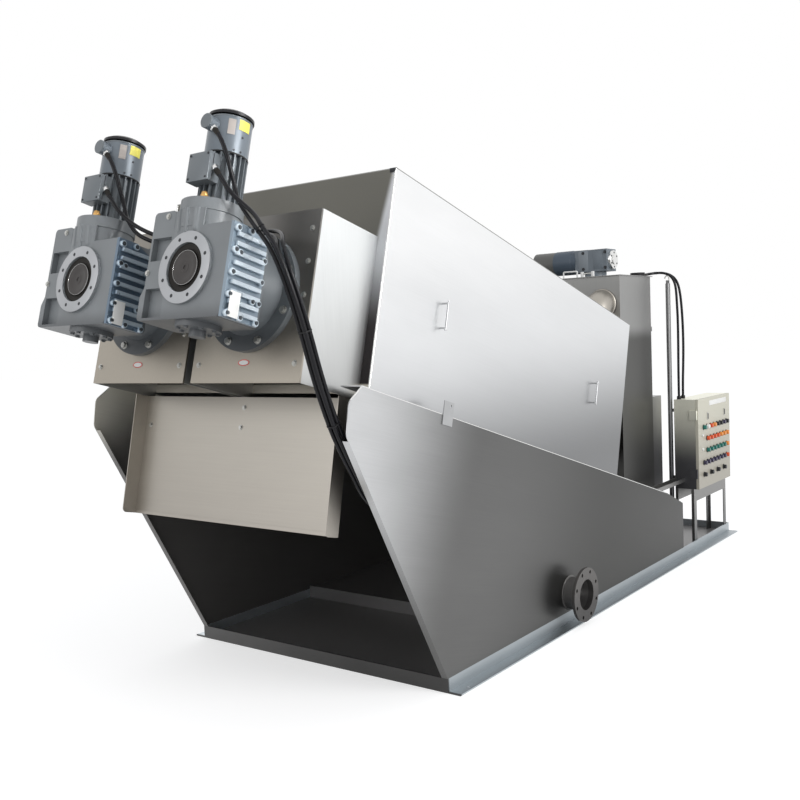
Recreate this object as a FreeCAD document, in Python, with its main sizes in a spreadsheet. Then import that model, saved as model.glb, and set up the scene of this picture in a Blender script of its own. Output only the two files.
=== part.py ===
import FreeCAD, Part
import Sketcher
import math
import os

# Two-screw sludge dewatering press on its own base.
# X points to the outlet side, Y to the rear, Z up; the origin lies on the ground
# at the centre of the anchor holes.

SIZES = [
    # Base frame
    ("base_length", 3520, "length of the base along Y"),
    ("base_width", 1454, "width over the upright legs of the side angles"),
    ("angle_leg", 60, "leg of the angle steel"),
    ("angle_wall", 6, "thickness of the angle steel"),
    ("anchor_at", 91, "first anchor hole behind the front edge"),
    ("anchor_span", 2521, "anchor holes apart along Y"),
    ("anchor_spread", 1534, "anchor holes apart along X"),
    ("anchor_bore", 16, "diameter of an anchor hole"),
    ("weir_at", 775, "first cross member behind the front edge"),
    ("tank_back_at", 2250, "back wall of the filtrate tank behind the front edge"),
    # Sheet and plate
    ("sheet", 4, "thickness of the stainless sheet"),
    ("floor_sheet", 8, "thickness of the floor plates"),
    ("seat_gap", 0.3, "gap between seated curved faces"),
    ("side_gap", 1, "gap beside a floor or wall sheet"),
    ("weir_height", 79, "top of the weir above the ground"),
    ("tank_floor", 64, "filtrate tank bottom above the ground"),
    # Side panels
    ("knee_out", 567, "knee of a side panel in front of the base"),
    ("knee_up", 1111, "knee of a side panel above the ground"),
    ("brow_out", 549, "upper end of the short front edge in front of the base"),
    ("brow_up", 1228, "upper end of the short front edge above the ground"),
    ("crown_out", 465, "front end of the top edge in front of the base"),
    ("tail_at", 2385, "back end of the top edge behind the front edge"),
    ("panel_length", 2650, "back edge of a side panel behind the front edge"),
    ("panel_back", 341, "height of the back edge of a side panel"),
    ("return_flange", 30, "width of the return flange on the slanted edge"),
    ("flange_end", 20, "upper end of the return flange below the knee"),
    ("knee_radius", 40, "rounding of a side panel at knee and brow"),
    ("ledge", 104, "width of the ledge that carries the hood"),
    # Screw axis and hood
    ("tilt", 15, "slope of the screws in degrees"),
    ("roof_fall", 1.35, "extra slope of the hood roof and panel top in degrees"),
    ("axis_out", 563.5, "screw axis at the box face, in front of the base"),
    ("axis_up", 1631.5, "screw axis at the box face above the ground"),
    ("axis_pitch", 614, "distance between the two screw axes"),
    ("hood_width", 1284, "width over the side covers"),
    ("hood_low", 314.5, "bottom edge of the hood front below the screw axis"),
    ("hood_high", 580, "top edge of the hood front above the screw axis"),
    ("hood_length", 2283, "length of the hood along the screw axis"),
    # Discharge boxes and chute
    ("box_width", 569, "width of a discharge box"),
    ("box_low", 338, "box bottom below the screw axis"),
    ("box_high", 304, "box top above the screw axis"),
    ("box_depth", 330, "depth of a box along the screw axis"),
    ("front_plate", 8, "thickness of the plate that carries the gear unit"),
    ("chute_width", 1176, "width of the chute"),
    ("chute_lean", 12.5, "lean of the chute back in degrees"),
    ("chute_length", 520, "length of the chute"),
    ("chute_depth", 72, "depth of the chute sides"),
    ("chute_set", 297, "chute back behind the box face, along the screw axis"),
    ("chute_corner", 20, "radius of the lower front corner of a chute side"),
    ("chute_hem", 15, "height of the folded hem at the lower edge of the chute"),
    ("chute_hem_wall", 3, "thickness of the folded hem"),
    # Outlet
    ("outlet_at", 1092, "outlet behind the front edge"),
    ("outlet_up", 152, "outlet above the ground"),
    ("outlet_pipe", 159, "outside diameter of the outlet pipe"),
    ("outlet_bore", 150, "bore of the outlet"),
    ("outlet_reach", 91, "flange face outside the side panel"),
    ("outlet_flange", 265, "diameter of the outlet flange"),
    ("outlet_flange_wall", 14, "thickness of the outlet flange"),
    ("outlet_circle", 225, "bolt circle of the outlet flange"),
    ("outlet_hole", 18, "bolt hole of the outlet flange"),
    ("outlet_holes", 8, "number of bolt holes in the outlet flange"),
    # Gear units
    ("gear_flange", 450, "diameter of the gear flange"),
    ("gear_flange_wall", 25, "thickness of the gear flange"),
    ("neck_large", 330, "diameter of the neck at the flange"),
    ("neck_small", 290, "diameter of the neck at the housing"),
    ("gear_back", 150, "back of the gear housing in front of the box face"),
    ("gear_front", 335, "front of the gear housing in front of the box face"),
    ("gear_left", 229, "left side of the gear housing below the step from the axis"),
    ("gear_left_upper", 211, "left side of the gear housing above the step from the axis"),
    ("gear_step", 74, "middle of the step in the left side below the axis"),
    ("gear_step_height", 36, "height of the step in the left side"),
    ("gear_round", 16, "rounding of the long edges of the gear housing"),
    ("gear_pocket", 24, "depth of the recesses in the front of the gear housing"),
    ("gear_pocket_width", 100, "width of a recess from the left margin"),
    ("gear_margin", 10, "wall beside a recess in the gear housing"),
    ("upper_pocket_low", 38, "lower edge of the upper recess above the axis"),
    ("upper_pocket_high", 123, "upper edge of the upper recess above the axis"),
    ("lower_pocket_high", 64, "upper edge of the lower recess below the axis"),
    ("sump", 230, "diameter of the oil sump under the gear housing"),
    ("sump_depth", 20, "depth of the oil sump below the gear housing"),
    ("drain_boss", 60, "diameter of the drain boss"),
    ("drain_depth", 45, "lower end of the drain boss below the gear housing"),
    ("gear_right", 212, "right side of the gear housing from the axis"),
    ("gear_low", 180, "bottom of the gear housing below the axis"),
    ("gear_shoulder", 220, "top of the left shoulder above the axis"),
    ("gear_top", 150, "top of the right part above the axis"),
    ("shoulder_width", 132, "right edge of the left shoulder from the lower left side"),
    ("gear_ring", 260, "diameter of the front ring"),
    ("gear_ring_wall", 12, "height of the front ring"),
    ("seal_bore", 178, "diameter of the recess for the shaft seal"),
    ("seal_depth", 30, "depth of the recess for the shaft seal"),
    ("shaft_bore", 125.1, "bore of the housing for the hollow shaft"),
    ("shaft_size", 125, "diameter of the hollow shaft"),
    ("shaft_recess", 100, "bore of the hollow shaft"),
    ("shaft_recess_depth", 24, "depth of the open end of the hollow shaft"),
    ("shaft_set", 8, "hollow shaft behind the ring face"),
    ("shaft_clear", 6, "free space round the shafts outside their bearings"),
    ("screw_size", 90, "diameter of the screw shaft in the discharge box"),
    ("screw_reach", 40, "screw shaft behind the hood front"),
    ("adapter", 218, "diameter of the motor adapter"),
    ("adapter_up", 256, "top of the motor adapter above the axis"),
    ("adapter_shift", 20, "motor adapter left of the motor axis"),
    ("adapter_set", 240, "motor adapter in front of the box face"),
    ("motor_set", 232, "motor axis in front of the box face"),
    ("cover_wall", 30, "thickness of the finned cover"),
    ("cover_back", 172, "back edge of the finned cover in front of the box face"),
    ("cover_fin", 14, "width of a fin"),
    ("cover_fin_pitch", 33, "distance between fins"),
    ("cover_fins", 9, "number of fins"),
    ("cover_plate", 14, "thickness of the cover plate under the fins"),
    # Motors
    ("motor_core", 128, "diameter of the motor body between the fins"),
    ("motor_size", 160, "diameter over the motor fins"),
    ("motor_length", 181, "length of the finned motor body"),
    ("motor_fins", 20, "number of motor fins"),
    ("motor_fin_wall", 5, "thickness of a motor fin"),
    ("cowl_size", 157, "diameter of the fan cowl"),
    ("cowl_length", 138, "length of the fan cowl"),
    ("cap_size", 166, "diameter of the rain cap"),
    ("cap_rise", 20, "height of the rain cap"),
    ("cap_gap", 5, "gap between the fan cowl and the rain cap"),
    ("terminal_width", 108, "width of the terminal box"),
    ("terminal_height", 104, "height of the terminal box"),
    ("terminal_back", 68, "back of the terminal box in front of the motor axis"),
    ("terminal_face", 118, "face of the terminal box in front of the motor axis"),
    ("terminal_up", 312, "bottom of the terminal box above the screw axis"),
    ("fan_box", 54, "diameter of the round box on the fan cowl"),
    ("fan_box_face", 112, "face of the round box in front of the motor axis"),
    ("fan_box_up", 536, "centre of the round box above the screw axis"),
    # Cable glands and cables
    ("cable", 16, "diameter of a cable"),
    ("gland", 22, "diameter of a cable gland"),
    ("gland_turn", 45, "slope of the glands on a motor in degrees"),
    ("gland_up", 372, "start of the terminal box gland above the screw axis"),
    ("gland_in", 8, "start of the terminal box gland inside the side of the box"),
    ("gland_length", 30, "length of the terminal box gland"),
    ("fan_gland", 40, "mouth of the fan box gland from the centre of the box"),
    ("gland_set", 93, "motor cable glands in front of the motor axis"),
    # Cable trunking on the right side panel
    ("trunk_width", 60, "width of the cable trunking"),
    ("trunk_height", 50, "height of the cable trunking"),
    ("trunk_drop", 14, "trunking below the top edge of the side panel"),
    ("cable_entry_out", 670, "middle of the cable entries from the centre plane"),
    ("cable_entry_at", 64.5, "middle of the cable entries behind the front of the trunking"),
    ("cable_entry_pitch", 22, "distance between the cable entries"),
    ("trunk_front", 215, "front end of the trunking in front of the base"),
    ("trunk_rear", 2330, "rear end of the trunking behind the front edge"),
    ("entry_length", 90, "length of the cable entry box along Y"),
    ("entry_low", 1098, "mouth of the cable entry box above the ground"),
    # Mixing tank
    ("tank_width", 1000, "width of the mixing tank"),
    ("tank_gap", 329.5, "front of the mixing tank behind the hood end on the screw axis"),
    ("tank_length", 472, "length of the mixing tank"),
    ("tank_top", 1760, "top of the mixing tank above the ground"),
    ("band_up", 1415, "stiffening band of the mixing tank above the ground"),
    ("band_height", 30, "height of the stiffening band"),
    ("band_wall", 4, "thickness of the stiffening band"),
    ("lid_lip", 12, "overhang of the lid"),
    ("chamber_length", 143, "length of the low rear chamber"),
    ("chamber_top", 990, "top of the low rear chamber above the ground"),
    ("feed_pipe", 168.3, "outside diameter of the feed pipes"),
    ("feed_spread", 774, "distance between the two feed pipes"),
    ("feed_up", 1595, "feed pipe at the mixing tank above the ground"),
    ("feed_bend", 95, "bend radius of the feed pipes"),
    ("probe", 90, "diameter of the level probe head on the lid"),
    ("probe_height", 25, "height of the level probe head"),
    ("probe_out", 440, "level probe from the centre plane"),
    ("probe_inset", 55, "level probe in front of the rear wall of the mixing tank"),
    ("probe_gland_up", 13, "probe glands above the lid"),
    ("probe_gland_reach", 57, "mouth of the probe glands behind the probe axis"),
    ("probe_gland_pitch", 30, "distance between the probe glands"),
    # Mixer drive
    ("mixer_up", 1872, "axis of the mixer motor above the ground"),
    ("mixer_size", 150, "diameter of the mixer motor"),
    ("mixer_length", 300, "length of the mixer motor"),
    ("mixer_gear", 215, "length of the mixer gear unit"),
    ("mixer_gear_size", 136, "height of the mixer gear unit"),
    ("mixer_start", 130, "joint of mixer motor and gear unit right of the centre"),
    # Control cabinet
    ("cabinet_width", 615, "width of the cabinet along Y"),
    ("cabinet_height", 577, "height of the cabinet"),
    ("cabinet_depth", 157, "depth of the cabinet with its door"),
    ("cabinet_out", 755, "door face from the centre plane"),
    ("cabinet_inset", 35, "cabinet in front of the back end of the base"),
    ("door_wall", 18, "thickness of the door"),
    ("door_gap", 0.5, "gap between the door and the cabinet body"),
    ("stand_height", 378, "height of the cabinet stand on the rear floor"),
    ("stand_leg", 45, "width of a stand leg along Y"),
    ("stand_flange", 18, "width of a stand leg along X"),
    ("stand_wall", 5, "thickness of the stand angles"),
    ("rail_height", 82, "height of the upper stand rails"),
    ("button_size", 22, "diameter of a push button"),
    ("button_pitch", 63, "distance between push buttons"),
    ("button_reach", 18, "height of a push button"),
    ("button_inset", 95, "first push button from the hinge side of the door"),
    ("button_drop", 185, "top row of buttons below the top of the door"),
    ("row_pitch", 76.5, "distance between the rows of buttons"),
    ("hinge_pin", 10, "diameter of a hinge barrel"),
    ("hinge_gap", 1.3, "gap between a hinge barrel and the door"),
    ("hinge_height", 60, "height of a hinge"),
    ("hinge_inset", 70, "end of a hinge from the end of the door"),
    ("hinge_leaf", 35, "length of a hinge leaf on the side of the cabinet"),
    ("hinge_wall", 8, "thickness of a hinge leaf"),
    ("conduit", 30, "diameter of the upright conduit"),
    ("conduit_top", 1717, "top of the conduit above the ground"),
    ("conduit_out", 566, "conduit from the centre plane"),
    ("conduit_set", 20, "conduit behind the front side of the cabinet"),
    ("saddle", 40, "height and width of the cable saddle on the conduit"),
    ("clamp", 20, "height of a clamp that holds the conduit"),
    ("cabinet_gland", 20, "height of a cable gland on the cabinet"),
    ("cabinet_gland_out", 620, "cable glands on the cabinet from the centre plane"),
    ("first_gland_at", 35, "first gland on the cabinet behind its front side"),
    ("second_gland_at", 108, "second gland on the cabinet behind its front side"),
    ("tray_out", 600, "inner side of the cable tray from the centre plane"),
    ("tray_width", 60, "width of the cable tray"),
    ("tray_up", 436, "underside of the cable tray above the ground"),
    ("tray_lip", 25, "height of the cable tray"),
    ("tray_front", 2400, "front end of the cable tray behind the front edge"),
    # Handles
    ("handle_rod", 10, "diameter of a handle rod"),
    ("handle_leg", 8, "diameter of a handle leg"),
    ("handle_length", 125, "length of a hood handle"),
    ("handle_reach", 28, "hood handle grip from the cover"),
    ("handle_inset", 410, "hood handle from the end of the cover"),
    ("handle_rise", 92, "middle of the front hood handles above the screw axis"),
    ("rear_handle_rise", 47, "middle of the rear hood handles above the screw axis"),
    ("catch_at", 70, "middle of the catch plate on the right panel behind the front edge"),
    ("catch_rise", 7, "middle of the catch plate above the top edge of the panel"),
    ("catch_length", 70, "length of the catch plate along the panel"),
    ("catch_height", 97, "height of the catch plate"),
    ("catch_hole", 12, "diameter of the hole in the catch plate"),
    ("catch_hole_rise", 32, "hole above the middle of the catch plate"),
    ("catch_hole_back", 14, "hole behind the middle of the catch plate"),
]

# Routes of the free cables, chosen by hand, in mm, each from its gland on
ROUTES = {
    "right_fan_cable": [
        (335.3, -2097.5, 2206), (357.9, -2103.4, 2184.2), (376, -2105, 2158),
        (388, -2104, 2127), (396, -2100, 2095), (400, -2095, 2060), (404, -2089, 2025),
        (409, -2086, 1990), (419, -2088, 1957), (442, -2093, 1928), (477, -2103, 1894),
        (517, -2116, 1859), (559, -2135, 1829), (602, -2131, 1776), (631, -2119, 1706),
        (651, -2098, 1612), (661, -2058, 1480), (664, -2007, 1310), (664, -1938, 1146),
        (663, -1878, 1042), (661, -1814, 946), (660, -1760, 865), (659, -1703, 820),
        (659, -1629, 806), (659, -1560, 829), (659, -1515, 887), (659, -1496, 956),
        (659, -1491, 1028), (659, -1491, 1098)],
    "right_motor_cable": [
        (374.2, -2138.1, 2054.5), (396.8, -2144, 2032.6), (415, -2144, 2008),
        (430, -2138, 1982), (446, -2127, 1957), (467, -2114, 1933), (498, -2107, 1907),
        (538, -2117, 1878), (577, -2136, 1843), (622, -2132, 1787), (653, -2120, 1712),
        (673, -2098, 1615), (683, -2059, 1481), (686, -2007, 1310), (686, -1938, 1146),
        (685, -1878, 1042), (683, -1814, 945), (682, -1760, 865), (681, -1702, 820),
        (681, -1629, 806), (681, -1560, 829), (681, -1515, 887), (681, -1496, 956),
        (681, -1491, 1028), (681, -1491, 1098)],
    "left_fan_cable": [
        (-278.7, -2097.5, 2206), (-256.1, -2103.4, 2184.2), (-238, -2105, 2158),
        (-226, -2104, 2127), (-218, -2100, 2095), (-214, -2095, 2060), (-210, -2089, 2025),
        (-205, -2086, 1990), (-195, -2088, 1957), (-173, -2091, 1927), (-141, -2097, 1896),
        (-99, -2098, 1869), (-35, -2080, 1841), (11, -2048, 1829), (56, -2012, 1826),
        (103, -1980, 1828), (157, -1963, 1835), (219, -1956, 1841), (287, -1953, 1844),
        (357, -1959, 1843), (423, -1972, 1839), (485, -1994, 1829), (541, -2025, 1805),
        (585, -2074, 1771), (631, -2097, 1710), (651, -2077, 1618), (661, -2037, 1487),
        (664, -1986, 1317), (664, -1918, 1156), (663, -1859, 1053), (661, -1795, 958),
        (660, -1744, 879), (659, -1694, 840), (659, -1631, 828), (659, -1572, 847),
        (659, -1535, 897), (659, -1518, 960), (659, -1513, 1028), (659, -1513, 1098)],
    "left_motor_cable": [
        (-239.8, -2138.1, 2054.5), (-217.2, -2144, 2032.6), (-199, -2144, 2008),
        (-184, -2138, 1982), (-168, -2127, 1957), (-147, -2114, 1933), (-113, -2103, 1908),
        (-67, -2092, 1884), (-17, -2067, 1861), (25, -2029, 1846), (69, -1989, 1842),
        (117, -1955, 1845), (173, -1935, 1851), (237, -1927, 1855), (307, -1927, 1857),
        (377, -1934, 1855), (445, -1949, 1850), (509, -1977, 1839), (565, -2021, 1816),
        (609, -2071, 1783), (653, -2098, 1716), (673, -2077, 1620), (683, -2037, 1488),
        (686, -1986, 1318), (686, -1918, 1155), (685, -1859, 1053), (683, -1795, 958),
        (682, -1744, 879), (681, -1693, 840), (681, -1631, 828), (681, -1572, 847),
        (681, -1535, 897), (681, -1518, 960), (681, -1513, 1028), (681, -1513, 1098)],
    "lid_cable_1": [
        (455, 1412.5, 1777), (455, 1451, 1777), (468, 1488, 1783), (497, 1517, 1788),
        (536, 1533, 1788), (575, 1542, 1773), (602, 1546, 1741), (616, 1547, 1694),
        (620, 1549, 1612), (622, 1556, 1480), (620, 1560, 1325), (619, 1557, 1180),
        (620, 1553.5, 1066), (620, 1553.5, 989)],
    "lid_cable_2": [
        (425, 1412.5, 1777), (425, 1464, 1777), (440, 1516, 1785), (474, 1562, 1791),
        (518, 1592, 1790), (562, 1604, 1774), (596, 1607, 1742), (614, 1610, 1692),
        (622, 1618, 1612), (624, 1634, 1480), (622, 1646, 1330), (620, 1641, 1185),
        (620, 1626.5, 1068), (620, 1626.5, 989)],
}

doc = FreeCAD.newDocument("screw_press_dewaterer")


class Formula:
    """A number together with the spreadsheet formula that gives it."""

    def __init__(self, number, text):
        self.number = number
        self.text = text

    def __add__(self, other):
        other = formula(other)
        return Formula(self.number + other.number, f"({self.text} + {other.text})")

    def __radd__(self, other):
        return formula(other) + self

    def __sub__(self, other):
        other = formula(other)
        return Formula(self.number - other.number, f"({self.text} - {other.text})")

    def __rsub__(self, other):
        return formula(other) - self

    def __mul__(self, other):
        other = formula(other)
        return Formula(self.number * other.number, f"({self.text} * {other.text})")

    def __rmul__(self, other):
        return formula(other) * self

    def __truediv__(self, other):
        other = formula(other)
        return Formula(self.number / other.number, f"({self.text} / {other.text})")

    def __neg__(self):
        return Formula(-self.number, f"(0 - {self.text})")


def formula(value):
    if isinstance(value, Formula):
        return value
    return Formula(float(value), f"{float(value):.6f}")


def sine(angle):
    return Formula(math.sin(math.radians(angle.number)), f"sin({angle.text} * 1 deg)")


def cosine(angle):
    return Formula(math.cos(math.radians(angle.number)), f"cos({angle.text} * 1 deg)")


def tangent(angle):
    return sine(angle) / cosine(angle)


def make_sheet():
    """Write the driving dimensions into the sheet and return them by name."""
    sheet = doc.addObject("Spreadsheet::Sheet", "Sizes")
    sizes = {}
    for row, (name, number, note) in enumerate(SIZES, start=1):
        sheet.set(f"A{row}", name)
        sheet.set(f"B{row}", str(number))
        sheet.set(f"C{row}", note)
        sheet.setAlias(f"B{row}", name)
        sizes[name] = Formula(float(number), f"Sizes.{name}")
    doc.recompute()
    return sizes


S = make_sheet()
NODES = []


# Places that several pieces share

front = -(S["anchor_at"] + S["anchor_span"] / 2)
back = front + S["base_length"]
half_base = S["base_width"] / 2
inner = half_base - S["angle_wall"]
floor_top = S["angle_wall"] + S["floor_sheet"]
slope = S["tilt"] + S["roof_fall"]
axis_y = front - S["axis_out"]
axis_z = S["axis_up"]
hood_half = S["hood_width"] / 2


def along_screw(run, rise):
    """Y and Z of a point given from the box face along and above the screw axis."""
    y = axis_y + run * cosine(S["tilt"]) + rise * sine(S["tilt"])
    z = axis_z - run * sine(S["tilt"]) + rise * cosine(S["tilt"])
    return y, z


ledge_y, ledge_z = along_screw(S["box_depth"], -S["hood_low"])
tank_front = along_screw(S["box_depth"] + S["hood_length"], 0)[0] + S["tank_gap"]


def panel_top(y):
    """Height of the top edge of the side panels, which carries the hood."""
    return ledge_z - (y - ledge_y) * tangent(slope)


# Helpers

def bind(obj, **formulas):
    for name, value in formulas.items():
        obj.setExpression(name, formula(value).text)


def place(obj, x=0, y=0, z=0, lean=None):
    """Put a piece at a point; lean turns it back about X, as the screws are."""
    angle = 0.0 if lean is None else -lean.number
    turn = FreeCAD.Rotation(FreeCAD.Vector(1, 0, 0), angle)
    obj.Placement = FreeCAD.Placement(FreeCAD.Vector(0, 0, 0), turn)
    for axis, value in (("x", x), ("y", y), ("z", z)):
        obj.setExpression(f"Placement.Base.{axis}", formula(value).text)
    if lean is not None:
        obj.setExpression("Placement.Rotation.Angle", f"(0 - {lean.text}) * 1 deg")
    return obj


def keep(obj, name):
    """Name a finished sub-part; its file takes this name."""
    obj.Label = name
    NODES.append(obj)
    return obj


def new_body(name):
    return doc.addObject("PartDesign::Body", name)


def plane_of(body, role):
    return next(f for f in body.Origin.OriginFeatures if f.Role == role)


def new_sketch(body, role, name, offset=None):
    """A sketch on an origin plane of its body, moved along the plane's normal."""
    sketch = body.newObject("Sketcher::SketchObject", f"{body.Name}_{name}")
    sketch.AttachmentSupport = [(plane_of(body, role), "")]
    sketch.MapMode = "FlatFace"
    if offset is not None:
        sketch.setExpression("AttachmentOffset.Base.z", formula(offset).text)
    return sketch


def pin_point(sketch, geometry, point, x, y):
    """Hold one point of the sketch at two formulas."""
    for kind, value in (("DistanceX", x), ("DistanceY", y)):
        index = sketch.addConstraint(
            Sketcher.Constraint(kind, -1, 1, geometry, point, value.number))
        sketch.setExpression(f"Constraints[{index}]", value.text)


def outline(sketch, corners):
    """Close an outline through corners whose places are formulas."""
    corners = [(formula(x), formula(y)) for x, y in corners]
    points = [FreeCAD.Vector(x.number, y.number, 0) for x, y in corners]
    first = sketch.GeometryCount
    count = len(points)
    for i in range(count):
        sketch.addGeometry(Part.LineSegment(points[i], points[(i + 1) % count]))
    for i in range(count):
        follower = first + (i + 1) % count
        sketch.addConstraint(Sketcher.Constraint("Coincident", first + i, 2, follower, 1))
        pin_point(sketch, first + i, 1, *corners[i])
    return sketch


def rectangle(sketch, x0, x1, y0, y1):
    return outline(sketch, [(x0, y0), (x1, y0), (x1, y1), (x0, y1)])


def round_hole(sketch, x, y, diameter):
    x, y, diameter = formula(x), formula(y), formula(diameter)
    centre = FreeCAD.Vector(x.number, y.number, 0)
    circle = Part.Circle(centre, FreeCAD.Vector(0, 0, 1), diameter.number / 2)
    index = sketch.addGeometry(circle)
    pin_point(sketch, index, 3, x, y)
    constraint = sketch.addConstraint(
        Sketcher.Constraint("Diameter", index, diameter.number))
    sketch.setExpression(f"Constraints[{constraint}]", diameter.text)
    return sketch


def pad(body, sketch, length, name, reverse=False, middle=False):
    feature = body.newObject("PartDesign::Pad", f"{body.Name}_{name}")
    feature.Profile = sketch
    feature.Reversed = reverse
    feature.Midplane = middle
    bind(feature, Length=length)
    return feature


def round_edges(body, feature, spots, radius, axes=("y", "z")):
    """Round the edges of a flat pad that pass through places given in its plane."""
    doc.recompute()
    names = []
    for number, edge in enumerate(feature.Shape.Edges, start=1):
        ends = [vertex.Point for vertex in edge.Vertexes]
        for spot in spots:
            gaps = [abs(getattr(end, axis) - formula(place).number)
                    for end in ends for axis, place in zip(axes, spot)]
            if max(gaps) < 0.01:
                names.append(f"Edge{number}")
    rounded = body.newObject("PartDesign::Fillet", f"{body.Name}_rounded")
    rounded.Base = (feature, names)
    bind(rounded, Radius=radius)
    return rounded


def pocket(body, sketch, length, name, reverse=False, middle=False):
    feature = body.newObject("PartDesign::Pocket", f"{body.Name}_{name}")
    feature.Profile = sketch
    feature.Reversed = reverse
    feature.Midplane = middle
    bind(feature, Length=length)
    return feature


def box(name, x, y, z):
    """A block given by its low and high formulas on each axis."""
    block = doc.addObject("Part::Box", name)
    bind(block, Length=x[1] - formula(x[0]), Width=y[1] - formula(y[0]),
         Height=z[1] - formula(z[0]))
    return place(block, x[0], y[0], z[0])


def rod(name, diameter, length, x=0, y=0, z=0, axis=None):
    """A round bar from a point, along Z or along the given axis."""
    bar = doc.addObject("Part::Cylinder", name)
    bind(bar, Radius=formula(diameter) / 2, Height=length)
    place(bar, x, y, z)
    if axis is not None:
        turn = FreeCAD.Rotation(FreeCAD.Vector(0, 0, 1), FreeCAD.Vector(*axis))
        bar.Placement = FreeCAD.Placement(bar.Placement.Base, turn)
        for key, value in (("x", x), ("y", y), ("z", z)):
            bar.setExpression(f"Placement.Base.{key}", formula(value).text)
    return bar


def fuse(name, pieces):
    joined = doc.addObject("Part::MultiFuse", name)
    joined.Shapes = pieces
    return joined


def cut(name, base, tool):
    left = doc.addObject("Part::Cut", name)
    left.Base = base
    left.Tool = tool
    return left


def group(name, pieces):
    together = doc.addObject("Part::Compound", name)
    together.Links = pieces
    return together


# Base, floor and filtrate tank

def make_base_frame():
    """Angle steel ladder: side angles with outward feet, and cross members."""
    body = new_body("base_frame")
    out = half_base + S["angle_leg"]
    stations = [front, front + S["weir_at"], front + S["tank_back_at"]]
    feet = rectangle(new_sketch(body, "XY_Plane", "feet"), -out, out, front, back)
    for this, following in zip(stations, stations[1:] + [back - S["angle_leg"]]):
        rectangle(feet, -inner, inner, this + S["angle_leg"], following)
    pad(body, feet, S["angle_wall"], "foot_pad")
    legs = rectangle(new_sketch(body, "XY_Plane", "legs"), -half_base, half_base, front, back)
    for this, following in zip(stations, stations[1:] + [back - S["angle_wall"]]):
        rectangle(legs, -inner, inner, this + S["angle_wall"], following)
    pad(body, legs, S["angle_leg"], "leg_pad")
    holes = new_sketch(body, "XY_Plane", "holes")
    for side in (-1, 1):
        for end in (-1, 1):
            round_hole(holes, side * S["anchor_spread"] / 2, end * S["anchor_span"] / 2,
                       S["anchor_bore"])
    pocket(body, holes, S["angle_leg"], "anchor_holes", reverse=True)
    keep(body, "base_frame")


def make_floors():
    wall = inner - S["side_gap"]
    floor = (S["angle_wall"], floor_top)
    keep(box("floor_plate", (-wall, wall),
             (front + S["angle_wall"], front + S["weir_at"]), floor), "floor_plate")
    keep(box("rear_floor", (-wall, wall),
             (front + S["tank_back_at"] + S["angle_wall"] + S["side_gap"],
              back - S["angle_wall"] - S["side_gap"]),
             floor), "rear_floor")
    keep(box("filtrate_weir", (-wall, wall),
             (front + S["weir_at"] - S["sheet"], front + S["weir_at"]),
             (floor_top, S["weir_height"])), "filtrate_weir")


def make_tank_bottom():
    """Flat bottom of the filtrate tank, from the weir to the back wall."""
    wall = inner - S["side_gap"]
    keep(box("tank_bottom", (-wall, wall), (front + S["weir_at"], front + S["tank_back_at"]),
             (S["tank_floor"] - S["sheet"], S["tank_floor"])), "tank_bottom")


def make_back_wall():
    wall = inner - S["side_gap"]
    y = front + S["tank_back_at"]
    keep(box("back_wall", (-wall, wall), (y, y + S["sheet"]),
             (S["angle_leg"], panel_top(y) - S["ledge"])), "back_wall")


def make_side_panel(name, side):
    """Folded sheet: slanted front edge with a return flange, sloped ledge on top."""
    body = new_body(name)
    outer = half_base
    knee = (front - S["knee_out"], S["knee_up"])
    crown_y = front - S["crown_out"]
    tail_y = front + S["tail_at"]
    corners = [(front, S["angle_leg"]), knee, (front - S["brow_out"], S["brow_up"]),
               (crown_y, panel_top(crown_y)), (tail_y, panel_top(tail_y)),
               (front + S["panel_length"], S["panel_back"]),
               (front + S["panel_length"], S["angle_leg"])]
    start = outer - S["sheet"] if side > 0 else -outer
    inward = side > 0
    sheet = outline(new_sketch(body, "YZ_Plane", "outline", start), corners)
    flat = pad(body, sheet, S["sheet"], "sheet_pad")
    round_edges(body, flat, corners[1:3], S["knee_radius"])
    from_inside = outer - S["sheet"] if side > 0 else -outer + S["sheet"]
    edge = new_sketch(body, "YZ_Plane", "front_edge", from_inside)
    end_z = knee[1] - S["flange_end"]
    end_y = knee[0] + S["flange_end"] * S["knee_out"] / (S["knee_up"] - S["angle_leg"])
    outline(edge, [(front, S["angle_leg"]), (end_y, end_z), (end_y + S["sheet"], end_z),
                   (front + S["sheet"], S["angle_leg"])])
    pad(body, edge, S["return_flange"] - S["sheet"], "front_flange", reverse=inward)
    lip = new_sketch(body, "YZ_Plane", "top_edge", from_inside)
    outline(lip, [(crown_y, panel_top(crown_y) - S["sheet"]),
                  (tail_y, panel_top(tail_y) - S["sheet"]),
                  (tail_y, panel_top(tail_y)), (crown_y, panel_top(crown_y))])
    pad(body, lip, S["ledge"] - S["sheet"], "ledge_pad", reverse=inward)
    if side > 0:
        hole = new_sketch(body, "YZ_Plane", "outlet_hole", start)
        round_hole(hole, front + S["outlet_at"], S["outlet_up"],
                   S["outlet_pipe"] + 2 * S["seat_gap"])
        pocket(body, hole, S["sheet"], "outlet_cut", reverse=True)
    keep(body, name)


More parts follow.
